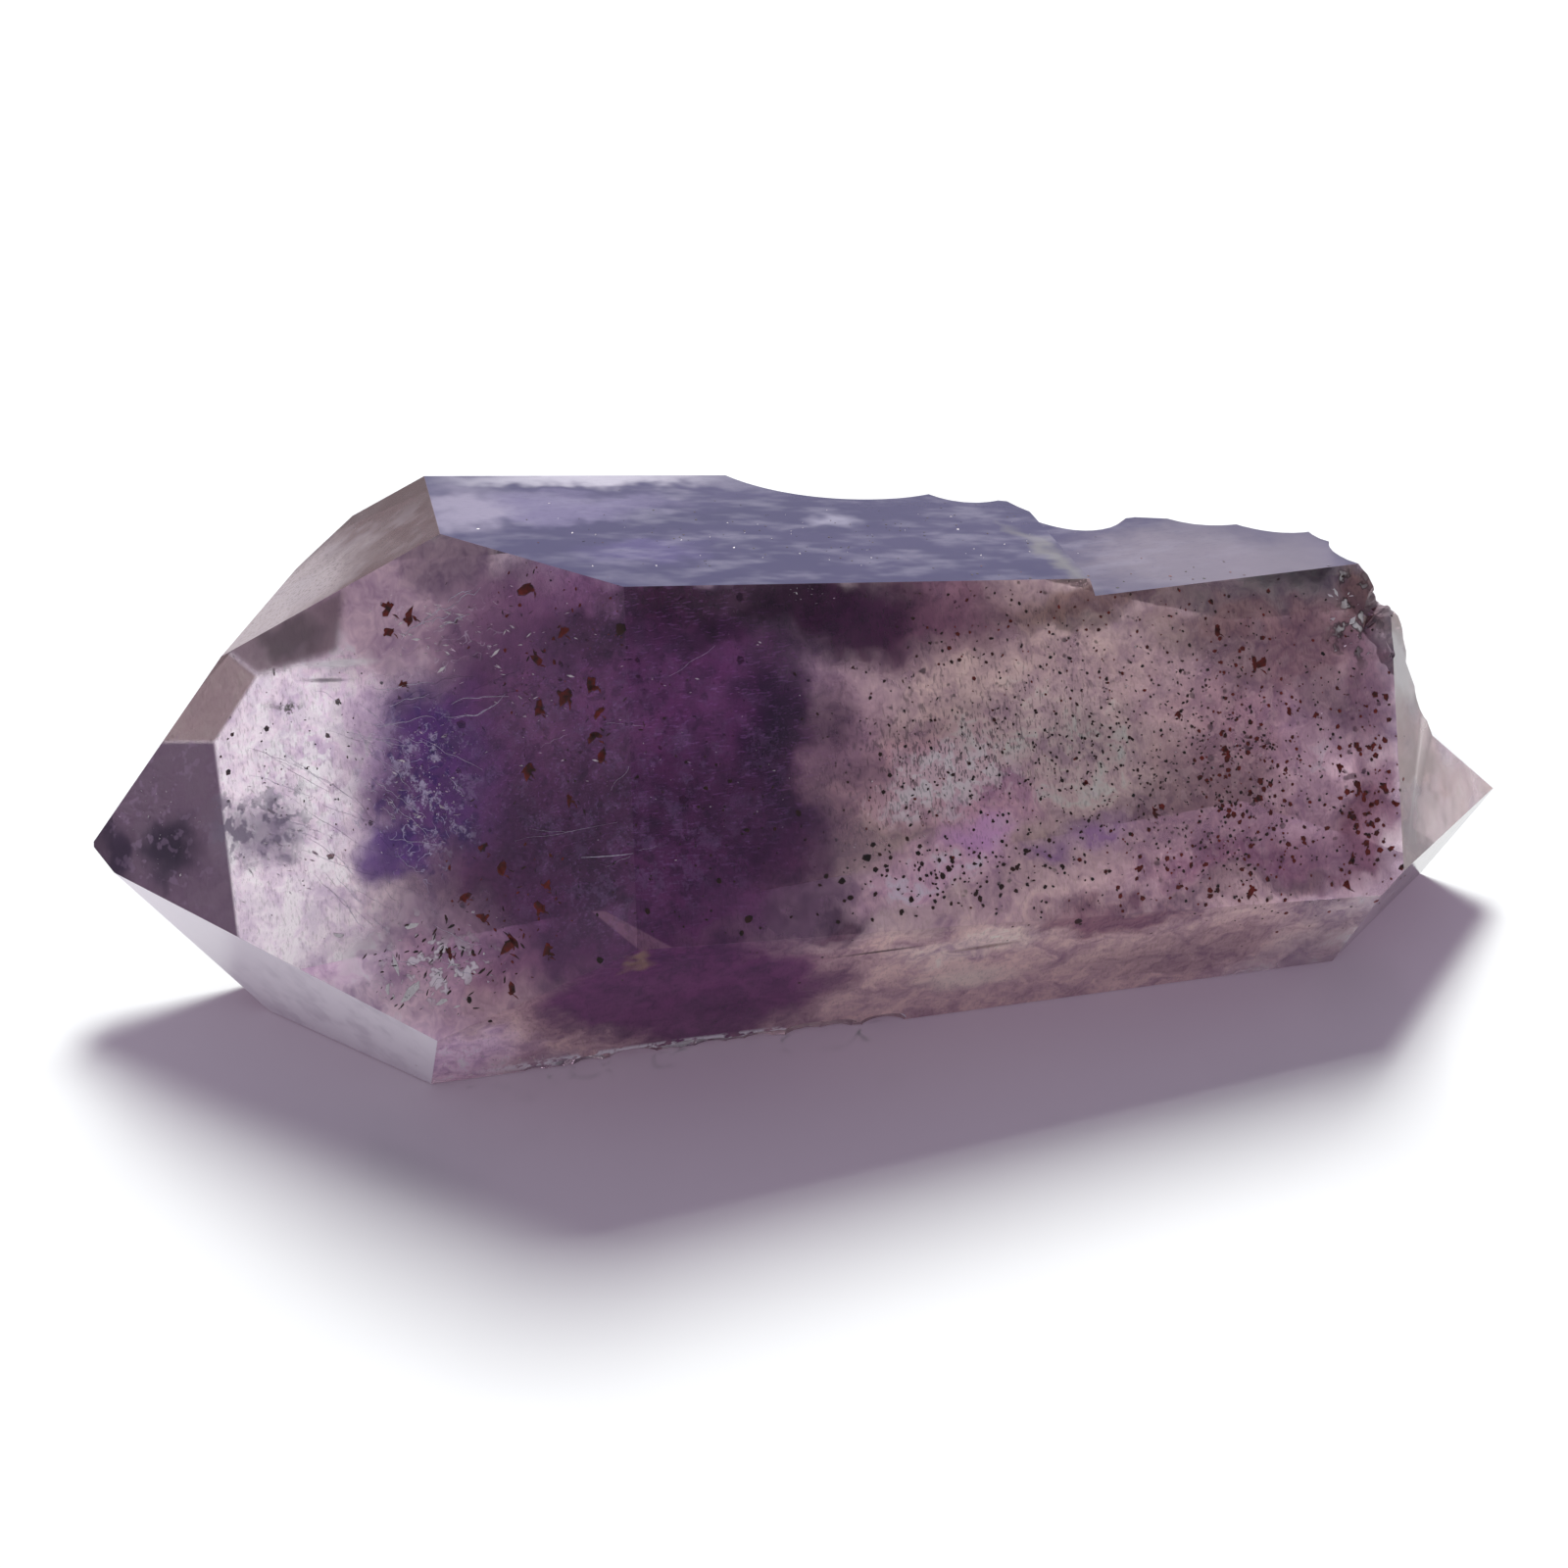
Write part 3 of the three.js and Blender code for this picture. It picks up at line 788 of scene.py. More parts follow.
@dataclass(frozen=True)
class AmethystQuartz:
    """Amethyst grown in a pocket: clear, glossy faces over soft plum, indigo and smoky zones.

    The eye sees a glassy body, deep plum in the middle and greyish beyond it, with a milky top face
    whose blue-grey is partly a painted sky reflection.
    """

    clear: str = "#f4eef2"
    haze: float = 0.04
    body: str = "#c9b6c4"
    body_density: float = 30.0
    lamps_through: str = "#ab9aa9"
    billow_size: float = 2.0
    billow_detail: float = 3.5
    billow_roughness: float = 0.8
    billow_band: tuple[float, float] = (0.25, 0.75)
    billow_dark: tuple[float, float, float, float] = (0.56, 0.42, 0.62, 1.0)
    billow_pale: tuple[float, float, float, float] = (1.52, 1.42, 1.38, 1.0)
    brightest: tuple[float, float, float] = (1.0, 0.93, 0.97)
    warp: float = 2.2
    warp_size: float = 6.5
    wisp: float = 1.3
    wisp_size: float = 1.9
    streak_depth: float = 0.35
    streak_cover: float = 0.3
    skin_cloud: float = 2.2
    skin_band: tuple[float, float] = (0.3, 0.7)
    skin_share: tuple[float, float] = (0.55, 1.35)
    striation_pitch: float = 0.35
    striation_length: float = 6.0
    pit_pitch: float = 0.9
    pit_share: float = 0.6
    relief: float = 0.012

    def material(self, view: PhotoView, faces: dict[HabitFace, Plane]) -> bpy.types.Material:
        """Builds the glass.

        Args:
            view: The photograph's viewpoint, by which the colour zones are placed.
            faces: The crystal's flat faces.

        Returns:
            The material.
        """
        material, tree = empty_material("amethyst_quartz_natural_faces")
        canvas = Canvas(tree, view, faces)
        place = canvas.add("ShaderNodeTexCoord", {}, "Object")
        wispy = canvas.pushed(place, self.wisp, self.wisp_size)
        cloudy_place = canvas.pushed(wispy, self.warp, self.warp_size)
        canvas.places = {CRISP: place, WISPY: wispy, Border.CLOUDY: cloudy_place}
        canvas.colour = add_node(tree, "ShaderNodeRGB").outputs[0]
        canvas.colour.default_value = linear(self.clear)
        canvas.milk = add_node(tree, "ShaderNodeValue").outputs[0]
        canvas.milk.default_value = self.haze
        for zone in ZONES:
            canvas.zone(zone)
        self.billow(canvas)
        # Painted refraction of the hidden facets, and the real rod.
        for patch in REFRACTION_AND_ROD_PATCHES:
            canvas.patch(patch)
        for zone in DETAILS:
            canvas.zone(zone)
        self.streak(canvas)
        self.skin(canvas)
        for zone in SURFACE_ZONES:
            canvas.zone(zone)
        glass = canvas.add(
            "ShaderNodeBsdfPrincipled",
            {
                "Base Color": canvas.colour,
                "IOR": QUARTZ_IOR,
                "Roughness": canvas.own("frost"),
                "Transmission Weight": canvas.maths("SUBTRACT", 1.0, canvas.milk),
                "Normal": self.surface(canvas),
            },
        )
        lamp = canvas.add("ShaderNodeLightPath", {}, "Is Shadow Ray")
        through = canvas.add("ShaderNodeBsdfTransparent", {"Color": linear(self.lamps_through)})
        mixed = canvas.add("ShaderNodeMixShader", {0: lamp, 1: glass, 2: through})
        inputs = {"Color": linear(self.body), "Density": self.body_density}
        smoke = canvas.add("ShaderNodeVolumeAbsorption", inputs)
        add_node(tree, "ShaderNodeOutputMaterial", {"Surface": mixed, "Volume": smoke})
        return material

    def billow(self, canvas: Canvas) -> None:
        """Lets the colour wax and wane in billows down to fine dust."""
        place = canvas.places[WISPY]
        cloud = canvas.noise(place, self.billow_size, self.billow_detail, self.billow_roughness)
        shade = canvas.blend(canvas.ramp(cloud, *self.billow_band), self.billow_dark, self.billow_pale)
        canvas.colour = canvas.vector("MULTIPLY", canvas.colour, shade)
        canvas.colour = canvas.vector("MINIMUM", canvas.colour, self.brightest)

    def streak(self, canvas: Canvas) -> None:
        """Darkens the colour in short fine streaks round the girth, as etched growth lines do."""
        lines = canvas.maths("MULTIPLY", canvas.grained(STREAKS, self.streak_cover), self.streak_depth)
        canvas.lay(canvas.times(lines, canvas.own("lined")), linear("#000000"), milk=0.5)

    def skin(self, canvas: Canvas) -> None:
        """Lays each face's own milky skin over the inner colour, in a cloudy share."""
        cloud = canvas.noise(canvas.places[CRISP], self.skin_cloud, detail=1.0)
        uneven = canvas.ramp(cloud, *self.skin_band, *self.skin_share, kind="LINEAR")
        share = canvas.times(canvas.own("skin", "Alpha"), uneven)
        canvas.lay(share, canvas.own("skin", "Color"), canvas.own("milk"))

    def surface(self, canvas: Canvas) -> bpy.types.NodeSocket:
        """Gives the faces their growth lines round the girth and fine pits.

        The lines are drawn about three times coarser than the real ones, to show at this size.

        Args:
            canvas: The quartz's node tree.

        Returns:
            The normal socket.
        """
        round_girth = 1 / (self.striation_length * MM)
        scale = (1 / (self.striation_pitch * MM), round_girth, round_girth)
        stretched = canvas.add("ShaderNodeMapping", {"Vector": canvas.places[CRISP], "Scale": scale})
        inputs = {"Vector": stretched, "Scale": 1.0, "Detail": 1.0}
        lines = canvas.add("ShaderNodeTexNoise", inputs, "Fac")
        ridges = canvas.maths("MULTIPLY", lines, canvas.own("lined"))
        pits = canvas.noise(canvas.places[CRISP], self.pit_pitch, detail=0.0)
        height = canvas.maths("MULTIPLY_ADD", pits, self.pit_share, ridges)
        inputs = {"Height": height, "Strength": 1.0, "Distance": self.relief * MM}
        return canvas.add("ShaderNodeBump", inputs)


@dataclass
class CrystalBody:
    """The quartz: the CAD node's solid with its large faces made whole and its edges just blunted.

    Lengths are in millimetres, areas in square millimetres and angles in degrees.
    """

    weld: float = 0.0005
    flat_within: float = 0.25
    edge_blunt: float = 0.05
    edge_angle: float = 15.0
    edge_least: float = 1.0
    whole_face: float = 3.0
    same_face: float = 7.0
    best_face: float = 2.5
    broken_cuts: int = 2
    broken_relief: float = 0.22
    broken_pitch: float = 0.7
    broken_roughness: float = 0.8
    broken_layers: int = 3
    least_wear: float = 0.3
    finish: AmethystQuartz = field(default_factory=AmethystQuartz)
    faces: dict[HabitFace, Plane] = field(default_factory=dict)
    corners: dict[HabitFace, list[Vector]] = field(default_factory=dict)
    skin_tree: BVHTree | None = None

    def under(
        self,
        view: PhotoView,
        pixel: tuple[float, float],
        depth: float,
    ) -> tuple[Vector, Vector] | None:
        """Finds the point in the quartz that shows at a pixel of the photograph.

        Args:
            view: The photograph's viewpoint.
            pixel: The place in the photograph, in its 1600 pixel frame.
            depth: How deep under the face there the point lies, in millimetres.

        Returns:
            The point in metres and the face's normal, or nothing where the pixel misses the quartz.
        """
        eye, ray = view.sight(pixel)
        entry, normal, _, _ = self.skin_tree.ray_cast(eye, ray)
        if entry is None:
            return None
        bent = view.bent(ray, normal)
        return entry + bent * (depth * MM / -bent.dot(normal)), normal

    def room(self, place: Vector) -> float:
        """Measures how far inside the quartz a point lies.

        Args:
            place: The point, in metres.

        Returns:
            The distance to the nearest face, in metres, or less than 0 outside.
        """
        near, normal, _, distance = self.skin_tree.find_nearest(place)
        return distance if (place - near).dot(normal) < 0 else -distance

    def shape(self) -> bmesh.types.BMesh:
        """Copies the CAD solid, joins its triangles to whole faces and blunts the long edges.

        Returns:
            The mesh, in metres.
        """
        bm = bmesh.new()
        bm.from_mesh(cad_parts[CRYSTAL_NODE].data)
        bmesh.ops.remove_doubles(bm, verts=bm.verts, dist=self.weld * MM)
        flat = math.radians(self.flat_within)
        bmesh.ops.dissolve_limit(bm, angle_limit=flat, verts=bm.verts, edges=bm.edges)
        bm.normal_update()
        self.find_faces(bm)
        self.roughen(bm)
        self.blunt(bm)
        return bm

    def find_faces(self, bm: bmesh.types.BMesh) -> None:
        """Notes the plane of each habit face: the largest face that looks its way."""
        close = math.cos(math.radians(self.best_face))
        for kind in HabitFace:
            near = [f for f in bm.faces if f.normal.dot(kind.way()) > close]
            largest = max(near, key=lambda f: f.calc_area())
            self.faces[kind] = Plane(largest.calc_center_median(), largest.normal.copy())
            self.corners[kind] = [v.co.copy() for v in largest.verts]
            log.info("%s: %.1f mm2", kind.name, largest.calc_area() / MM / MM)

    def blunt(self, bm: bmesh.types.BMesh) -> None:
        """Bevels the long edges between whole faces by a hair, so that they catch the light."""
        whole = self.whole_face * MM * MM
        long_edges = [
            e
            for e in bm.edges
            if len(e.link_faces) == 2
            and e.calc_length() > self.edge_least * MM
            and e.calc_face_angle(0) > math.radians(self.edge_angle)
            and all(f.calc_area() > whole for f in e.link_faces)
        ]
        bmesh.ops.bevel(
            bm,
            geom=long_edges,
            offset=self.edge_blunt * MM,
            affect="EDGES",
            segments=1,
            profile=0.5,
            material=-1,
            clamp_overlap=True,
        )

    def broken(self, bm: bmesh.types.BMesh) -> set[bmesh.types.BMFace]:
        """Finds the faces of the mesh that are broken."""
        return {f for f in bm.faces if self.skin_of(f) is BROKEN_SKIN}

    def roughen(self, bm: bmesh.types.BMesh) -> None:
        """Cuts the broken faces finer and wears them down, but not at the floor: a sugary break."""
        bmesh.ops.triangulate(bm, faces=list(self.broken(bm)))
        broken = self.broken(bm)
        inner = [e for e in bm.edges if len(e.link_faces) == 2 and all(f in broken for f in e.link_faces)]
        bmesh.ops.subdivide_edges(bm, edges=inner, cuts=self.broken_cuts, use_grid_fill=True)
        broken = self.broken(bm)
        lowest = self.broken_relief * MM
        worn = [v for v in bm.verts if v.co.z > lowest and all(f in broken for f in v.link_faces)]
        finer = 2.0
        for vert in worn:
            place = vert.co / (self.broken_pitch * MM)
            bite = noise.fractal(place, self.broken_roughness, finer, self.broken_layers)
            vert.co -= vert.normal * max(0.0, self.least_wear + bite) * self.broken_relief * MM
        bm.normal_update()
        log.info("broken faces: %d, worn corners: %d", len(broken), len(worn))

    def kind_of(self, face: bmesh.types.BMFace) -> HabitFace | None:
        """Names the habit face that a face of the mesh belongs to, by the way that it looks.

        Args:
            face: The mesh face.

        Returns:
            The habit face, or nothing where the mesh face is broken or worn.
        """
        nearest = max(HabitFace, key=lambda kind: face.normal.dot(kind.way()))
        near = face.normal.dot(nearest.way())
        return nearest if near > math.cos(math.radians(self.same_face)) else None

    def skin_of(self, face: bmesh.types.BMFace) -> FaceSkin:
        """Names the skin of a face of the mesh: its habit face's, a plain one or a broken one."""
        kind = self.kind_of(face)
        if kind is None and face.calc_area() < self.whole_face * MM * MM:
            return BROKEN_SKIN
        return SKINS.get(kind, PLAIN_SKIN)

    def build(self, view: PhotoView) -> bpy.types.Object:
        """Makes the piece that stands for the CAD node.

        Args:
            view: The photograph's viewpoint, by which the colour zones are placed.

        Returns:
            The piece.
        """
        bm = self.shape()
        self.skin_tree = BVHTree.FromBMesh(bm)
        tint = bm.faces.layers.float_color.new("skin")
        milk = bm.faces.layers.float.new("milk")
        frost = bm.faces.layers.float.new("frost")
        lined = bm.faces.layers.float.new("lined")
        tied = {layer.face for layer in SURFACE_ZONES + REFRACTION_AND_ROD_PATCHES}
        own = {kind: bm.faces.layers.float.new(kind.mask()) for kind in HabitFace if kind in tied}
        for face in bm.faces:
            skin = self.skin_of(face)
            for kind, layer in own.items():
                face[layer] = float(self.kind_of(face) is kind)
            face[tint] = (*linear(skin.tint)[:3], skin.cover)
            face[milk] = skin.milk
            face[frost] = skin.frost
            face[lined] = skin.lined
        material = self.finish.material(view, self.faces)
        piece = finished_piece("crystal_quartz", bm, material)
        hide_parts(CRYSTAL_NODE)
        return piece


@dataclass(frozen=True)
class IronOxide:
    """Iron oxide grown as thin ragged plates: dark red with a soft sheen, near black where it is thick."""

    name: str
    thin: str
    thick: str
    patch: float = 0.3
    band: tuple[float, float] = (0.35, 0.65)
    roughness: float = 0.6
    ior: float = 1.5

    def material(self) -> bpy.types.Material:
        """Builds the finish.

        Returns:
            The material.
        """
        material, tree = empty_material(self.name)
        share = cloudy(tree, self.patch, 3.0, self.band)
        inputs = {"Factor": share, "A": linear(self.thin), "B": linear(self.thick)}
        colour = add_node(tree, "ShaderNodeMix", inputs, data_type="RGBA").outputs["Result"]
        inputs = {"Base Color": colour, "Roughness": self.roughness, "IOR": self.ior}
        oxide = add_node(tree, "ShaderNodeBsdfPrincipled", inputs).outputs[0]
        add_node(tree, "ShaderNodeOutputMaterial", {"Surface": oxide})
        return material


@dataclass(frozen=True)
class HealedFracture:
    """A film of fluid in a healed crack: the eye sees a silvery white glint."""

    name: str
    tint: str
    see_through: float
    roughness: float = 0.22
    frosting: float = 0.2
    band: tuple[float, float] = (0.3, 0.7)
    uneven: tuple[float, float] = (0.5, 1.5)
    film_ior: float = 1.45

    def material(self) -> bpy.types.Material:
        """Builds the finish.

        Returns:
            The material.
        """
        material, tree = empty_material(self.name)
        ends = tuple(self.roughness * share for share in self.uneven)
        inputs = {
            "Base Color": linear(self.tint),
            "Roughness": cloudy(tree, self.frosting, 2.0, self.band, ends),
            "IOR": self.film_ior,
            "Transmission Weight": self.see_through,
        }
        film = add_node(tree, "ShaderNodeBsdfPrincipled", inputs).outputs[0]
        add_node(tree, "ShaderNodeOutputMaterial", {"Surface": film})
        return material


@dataclass(frozen=True)
class Swarm:
    """A cloud of grains in the growth layers under a face: where it shows, in pixels, and its sizes in mm.

    Slim is a grain's width as a share of its length. Slant, in degrees, is the way that the grains are
    long. Level and the open share are the shares that lie level and open in the surface.
    """

    middle: tuple[float, float]
    spread: tuple[float, float]
    count: int
    least: float
    most: float
    shallow: float = 0.25
    deep: float = 1.6
    slim: float = 0.7
    slant: float | None = None
    level: float = 0.0
    open_share: float = 0.8


@dataclass
class GrainMesh:
    """Small closed plates inside the quartz, all in one mesh, with sizes in mm and angles in degrees."""

    body: CrystalBody
    view: PhotoView
    seed: int
    batch: int = 48
    proud: float = 0.012
    root: float = 0.2
    root_spare: float = 0.9
    most_out: float = 0.1
    bevelled: float = 0.8
    thick: float = 0.5
    level_thick: float = 0.06
    level_tilt: float = 34.0
    ragged: float = 0.3
    slant_spread: float = 28.0
    slim_range: float = 2.5
    mostly_small: float = 1.6
    rarely_large: float = 3.0
    shallowest: float = 0.2
    bm: bmesh.types.BMesh = field(default_factory=bmesh.new)
    rng: random.Random = field(default_factory=random.Random)
    batches: list[bpy.types.Mesh] = field(default_factory=list)
    made: int = 0

    def __post_init__(self) -> None:
        """Sets the random draws going from this mesh's own seed."""
        self.rng.seed(self.seed)

    def set_aside(self) -> None:
        """Puts the grains so far aside, because operators slow down as a mesh grows."""
        mesh = bpy.data.meshes.new("grain_batch")
        self.bm.to_mesh(mesh)
        self.bm.clear()
        self.batches.append(mesh)

    def whole(self) -> bmesh.types.BMesh:
        """Joins all the grains.

        Returns:
            Their mesh.
        """
        self.set_aside()
        for mesh in self.batches:
            self.bm.from_mesh(mesh)
            bpy.data.meshes.remove(mesh)
        return self.bm

    def plate(
        self,
        place: Vector,
        normal: Vector,
        radius: float,
        corners: int = 6,
        thick: float = 0.3,
        ragged: float = 0.35,
        slim: float = 1.0,
        slant: float | None = None,
        tilt: float = 30.0,
        flush: bool = False,
        level: bool = False,
    ) -> None:
        """Adds one ragged plate, if the quartz has room for it there.

        Args:
            place: Its middle, in metres.
            normal: The way that it would face if it lay flat in its growth layer.
            radius: Its half length, in millimetres.
            corners: How many corners its outline has.
            thick: Its thickness as a share of the radius.
            ragged: How uneven its outline is, from 0 to 1.
            slim: Its width as a share of its length.
            slant: Which way it is long, in degrees from the crystal's length; at random if not given.
            tilt: How far it may tip out of its layer, in degrees.
            flush: Whether it lies open in the quartz's surface, flat and hardly proud of it.
            level: Whether it lies level, where it catches the light from above, and not along the face.
        """
        if flush and not level:
            tilt, thick = 0.0, 2 * self.proud / radius
        reach = radius * MM
        sunk = max(reach * 2, self.root * MM) if flush else 0
        whole = reach * (1 + ragged)
        room = self.body.room(place - normal * sunk)
        if place.z < whole or room < max(whole, sunk * self.root_spare):
            return
        facing = Vector((0, 0, 1)) if level else normal
        side = (Vector((1, 0, 0)) - facing * facing.x).normalized()
        flat = Matrix((side, facing.cross(side), facing)).transposed().to_4x4()
        turn = math.radians(self.rng.uniform(0, 360) if slant is None else slant)
        tip = [math.radians(self.rng.gauss(0, tilt / 2)) for _ in range(2)]
        lie = flat @ Matrix.Rotation(tip[0], 4, "X") @ Matrix.Rotation(tip[1], 4, "Y")
        cut = bmesh.ops.create_cone(
            self.bm,
            cap_ends=True,
            segments=corners,
            radius1=reach,
            radius2=reach * self.bevelled,
            depth=reach * thick,
        )["verts"]
        uneven = [1 + ragged * self.rng.uniform(-1, 1) for _ in range(corners)]
        for vert in cut:
            corner = round(math.atan2(vert.co.y, vert.co.x) / math.tau * corners) % corners
            vert.co.xy *= uneven[corner]
        bmesh.ops.scale(self.bm, vec=(1, slim, 1), verts=cut)
        put = Matrix.Translation(place) @ lie @ Matrix.Rotation(turn, 4, "Z")
        bmesh.ops.transform(self.bm, matrix=put, verts=cut)
        if min(self.body.room(vert.co) for vert in cut) < -self.most_out * MM:
            bmesh.ops.delete(self.bm, geom=cut, context="VERTS")
            return
        self.made += 1
        if self.made % self.batch == 0:
            self.set_aside()

    def at(self, pixel: tuple[float, float], depth: float, radius: float, **shape) -> None:
        """Adds one plate that shows at a pixel of the photograph.

        Args:
            pixel: Where it shows.
            depth: How deep it lies under the face there, in millimetres. At 0 it lies open in the surface.
            radius: Its half length, in millimetres.
            shape: The rest of what a plate takes.
        """
        found = self.body.under(self.view, pixel, depth)
        if found:
            self.plate(*found, radius, flush=depth == 0, **shape)

    def swarm(self, cloud: Swarm, corners: int, tilt: float) -> None:
        """Scatters a swarm's grains, thickest in its middle.

        Args:
            cloud: The swarm.
            corners: How many corners each grain has.
            tilt: How far a grain may tip out of its layer, in degrees.
        """
        for _ in range(cloud.count):
            pixel = [m + w * self.rng.triangular(-1, 1) for m, w in zip(cloud.middle, cloud.spread)]
            depth = self.rng.uniform(cloud.shallow, cloud.deep)
            size = cloud.least + (cloud.most - cloud.least) * self.rng.random() ** self.mostly_small
            slim = self.rng.uniform(cloud.slim, min(1, cloud.slim * self.slim_range))
            slant = None if cloud.slant is None else self.rng.gauss(cloud.slant, self.slant_spread)
            if self.rng.random() < cloud.open_share:
                depth = 0
            level = self.rng.random() < cloud.level
            self.at(
                pixel,
                depth,
                size,
                corners=corners,
                thick=self.level_thick if level else self.thick,
                ragged=self.ragged,
                slim=slim,
                slant=slant,
                tilt=self.level_tilt if level else tilt,
                level=level,
            )

    def sprinkle(
        self,
        kind: HabitFace,
        count: int,
        least: float,
        most: float,
        deep: float = 1.5,
        tilt: float = 40.0,
    ) -> None:
        """Scatters grains evenly under a whole habit face.

        Args:
            kind: The face.
            count: How many grains.
            least: The smallest radius, in millimetres.
            most: The largest radius, in millimetres.
            deep: How deep the layer goes, in millimetres.
            tilt: How far a grain may tip out of its layer, in degrees.
        """
        plane = self.body.faces[kind]
        for _ in range(count):
            three = self.rng.sample(self.body.corners[kind], 3)
            never_zero = 0.02
            shares = [self.rng.random() + never_zero for _ in three]
            on_face = sum((c * s for c, s in zip(three, shares)), Vector()) / sum(shares)
            depth = self.rng.uniform(self.shallowest, deep) * MM
            size = least + (most - least) * self.rng.random() ** self.rarely_large
            place = on_face - plane.normal * depth
            self.plate(place, plane.normal, size, 5, self.thick, self.ragged, tilt=tilt)


@dataclass
class SealedGrains:
    """One kind of grain in the quartz: large ones, swarms, and a few under the unseen faces."""

    name: str
    slot: str
    seed: int
    finish: IronOxide | HealedFracture
    swarms: tuple[Swarm, ...]
    elsewhere: tuple[tuple[HabitFace, int], ...]
    elsewhere_radii: tuple[float, float]
    corners: int = 5
    tilt: float = 40.0

    def build(self, view: PhotoView, body: CrystalBody) -> bpy.types.Object:
        """Makes the grains as one piece.

        Args:
            view: The photograph's viewpoint.
            body: The quartz around them.

        Returns:
            The piece.
        """
        grains = GrainMesh(body, view, self.seed)
        self.add_large(grains)
        for cloud in self.swarms:
            grains.swarm(cloud, self.corners, self.tilt)
        for kind, count in self.elsewhere:
            grains.sprinkle(kind, count, *self.elsewhere_radii)
        return finished_piece(self.name, grains.whole(), self.finish.material())

    def add_large(self, grains: GrainMesh) -> None:
        """Adds the grains that are placed one by one, for each kind in its own way."""
        raise NotImplementedError


@dataclass
class RedFlakes(SealedGrains):
    """The haematite: large tattered flakes at the photograph's places, and clouds of small ones.

    Each flake has its pixel and its length in pixels. A slant is a middle and a spread, in degrees.
    """

    name: str = "haematite_flakes"
    slot: str = "iron_oxide"
    seed: int = 11
    finish: IronOxide = IronOxide("haematite_grown_in_plates", "#791a10", "#300a0a")
    flakes: tuple[tuple[float, float, float], ...] = (
        (396, 622, 13), (418, 628, 13), (396, 644, 11), (412, 698, 9), (537, 601, 13), (574, 645, 12),
        (548, 672, 12), (603, 697, 13), (577, 711, 13), (549, 725, 12), (611, 727, 9), (607, 751, 11),
        (614, 771, 10), (539, 786, 12), (581, 816, 9), (511, 887, 12), (492, 865, 9), (550, 926, 13),
        (474, 915, 9), (492, 937, 11), (519, 964, 17), (558, 970, 12), (459, 973, 9), (522, 1010, 10),
        (557, 904, 9), (1242, 644, 9), (1285, 677, 13), (1202, 728, 7), (1250, 764, 9), (1252, 773, 8),
        (1178, 829, 8), (1367, 784, 8), (1387, 806, 9), (1413, 803, 9), (1382, 834, 8), (1277, 910, 10),
        (1375, 903, 9), (1380, 877, 9), (1108, 798, 6), (1316, 726, 6), (1342, 730, 6), (1163, 886, 7),
    )
    swarms: tuple[Swarm, ...] = (
        Swarm((1270, 760), (62, 200), 220, 0.04, 0.16, slim=0.8),
        Swarm((1398, 810), (40, 140), 160, 0.04, 0.16, slim=0.8),
        Swarm((1330, 780), (60, 160), 60, 0.04, 0.12),
        Swarm((1110, 650), (190, 90), 130, 0.04, 0.11),
        Swarm((560, 650), (110, 120), 60, 0.04, 0.12, slim=0.3),
        Swarm((510, 930), (80, 100), 60, 0.04, 0.13, slim=0.3),
        Swarm((1020, 800), (190, 130), 60, 0.03, 0.08),
        Swarm((1230, 880), (170, 65), 110, 0.045, 0.15),
    )
    elsewhere: tuple[tuple[HabitFace, int], ...] = (
        (HabitFace.BACK, 90),
        (HabitFace.BACK_LOWER, 60),
        (HabitFace.TOP, 30),
        (HabitFace.TIP_BROAD, 20),
    )
    elsewhere_radii: tuple[float, float] = (0.04, 0.22)
    ragged: float = 0.5
    slim: float = 0.5
    thinned: float = 1.35
    slant: tuple[float, float] = (75.0, 35.0)
    lobes: tuple[float, float] = (0.62, 0.5)
    lobe_off: float = 0.6
    lobe_turn: tuple[float, float] = (40.0, 140.0)
    tail: float = 0.7
    tail_off: tuple[float, float] = (0.5, 1.1)
    tail_slant: tuple[float, float] = (-45.0, 20.0)

    def add_large(self, grains: GrainMesh) -> None:
        """Adds the flakes that show one by one, longer by what their ragged outline takes off."""
        for x, y, length in self.flakes:
            self.flake(grains, (x, y), self.thinned * length * PIXEL_MM / 2)

    def flake(self, grains: GrainMesh, pixel: tuple[float, float], half: float) -> None:
        """Adds one tattered flake: a long plate, two lobes across it and a thin tail.

        Args:
            grains: The mesh that it goes in.
            pixel: Where it shows.
            half: Its half length, in millimetres.
        """
        rng = grains.rng
        slant = rng.gauss(*self.slant)
        grains.at(pixel, 0, half, corners=7, ragged=self.ragged, slim=self.slim, slant=slant)
        for share in self.lobes:
            spot = [p + rng.uniform(-self.lobe_off, self.lobe_off) * half / PIXEL_MM for p in pixel]
            turn = slant + rng.uniform(*self.lobe_turn)
            grains.at(spot, 0, half * share, corners=6, ragged=self.ragged, slim=self.slim, slant=turn)
        end = [p + rng.uniform(*self.tail_off) * half / PIXEL_MM for p in pixel]
        turn = rng.gauss(*self.tail_slant)
        grains.at(end, 0, half * self.tail, corners=3, ragged=0.2, slim=0.2, slant=turn)


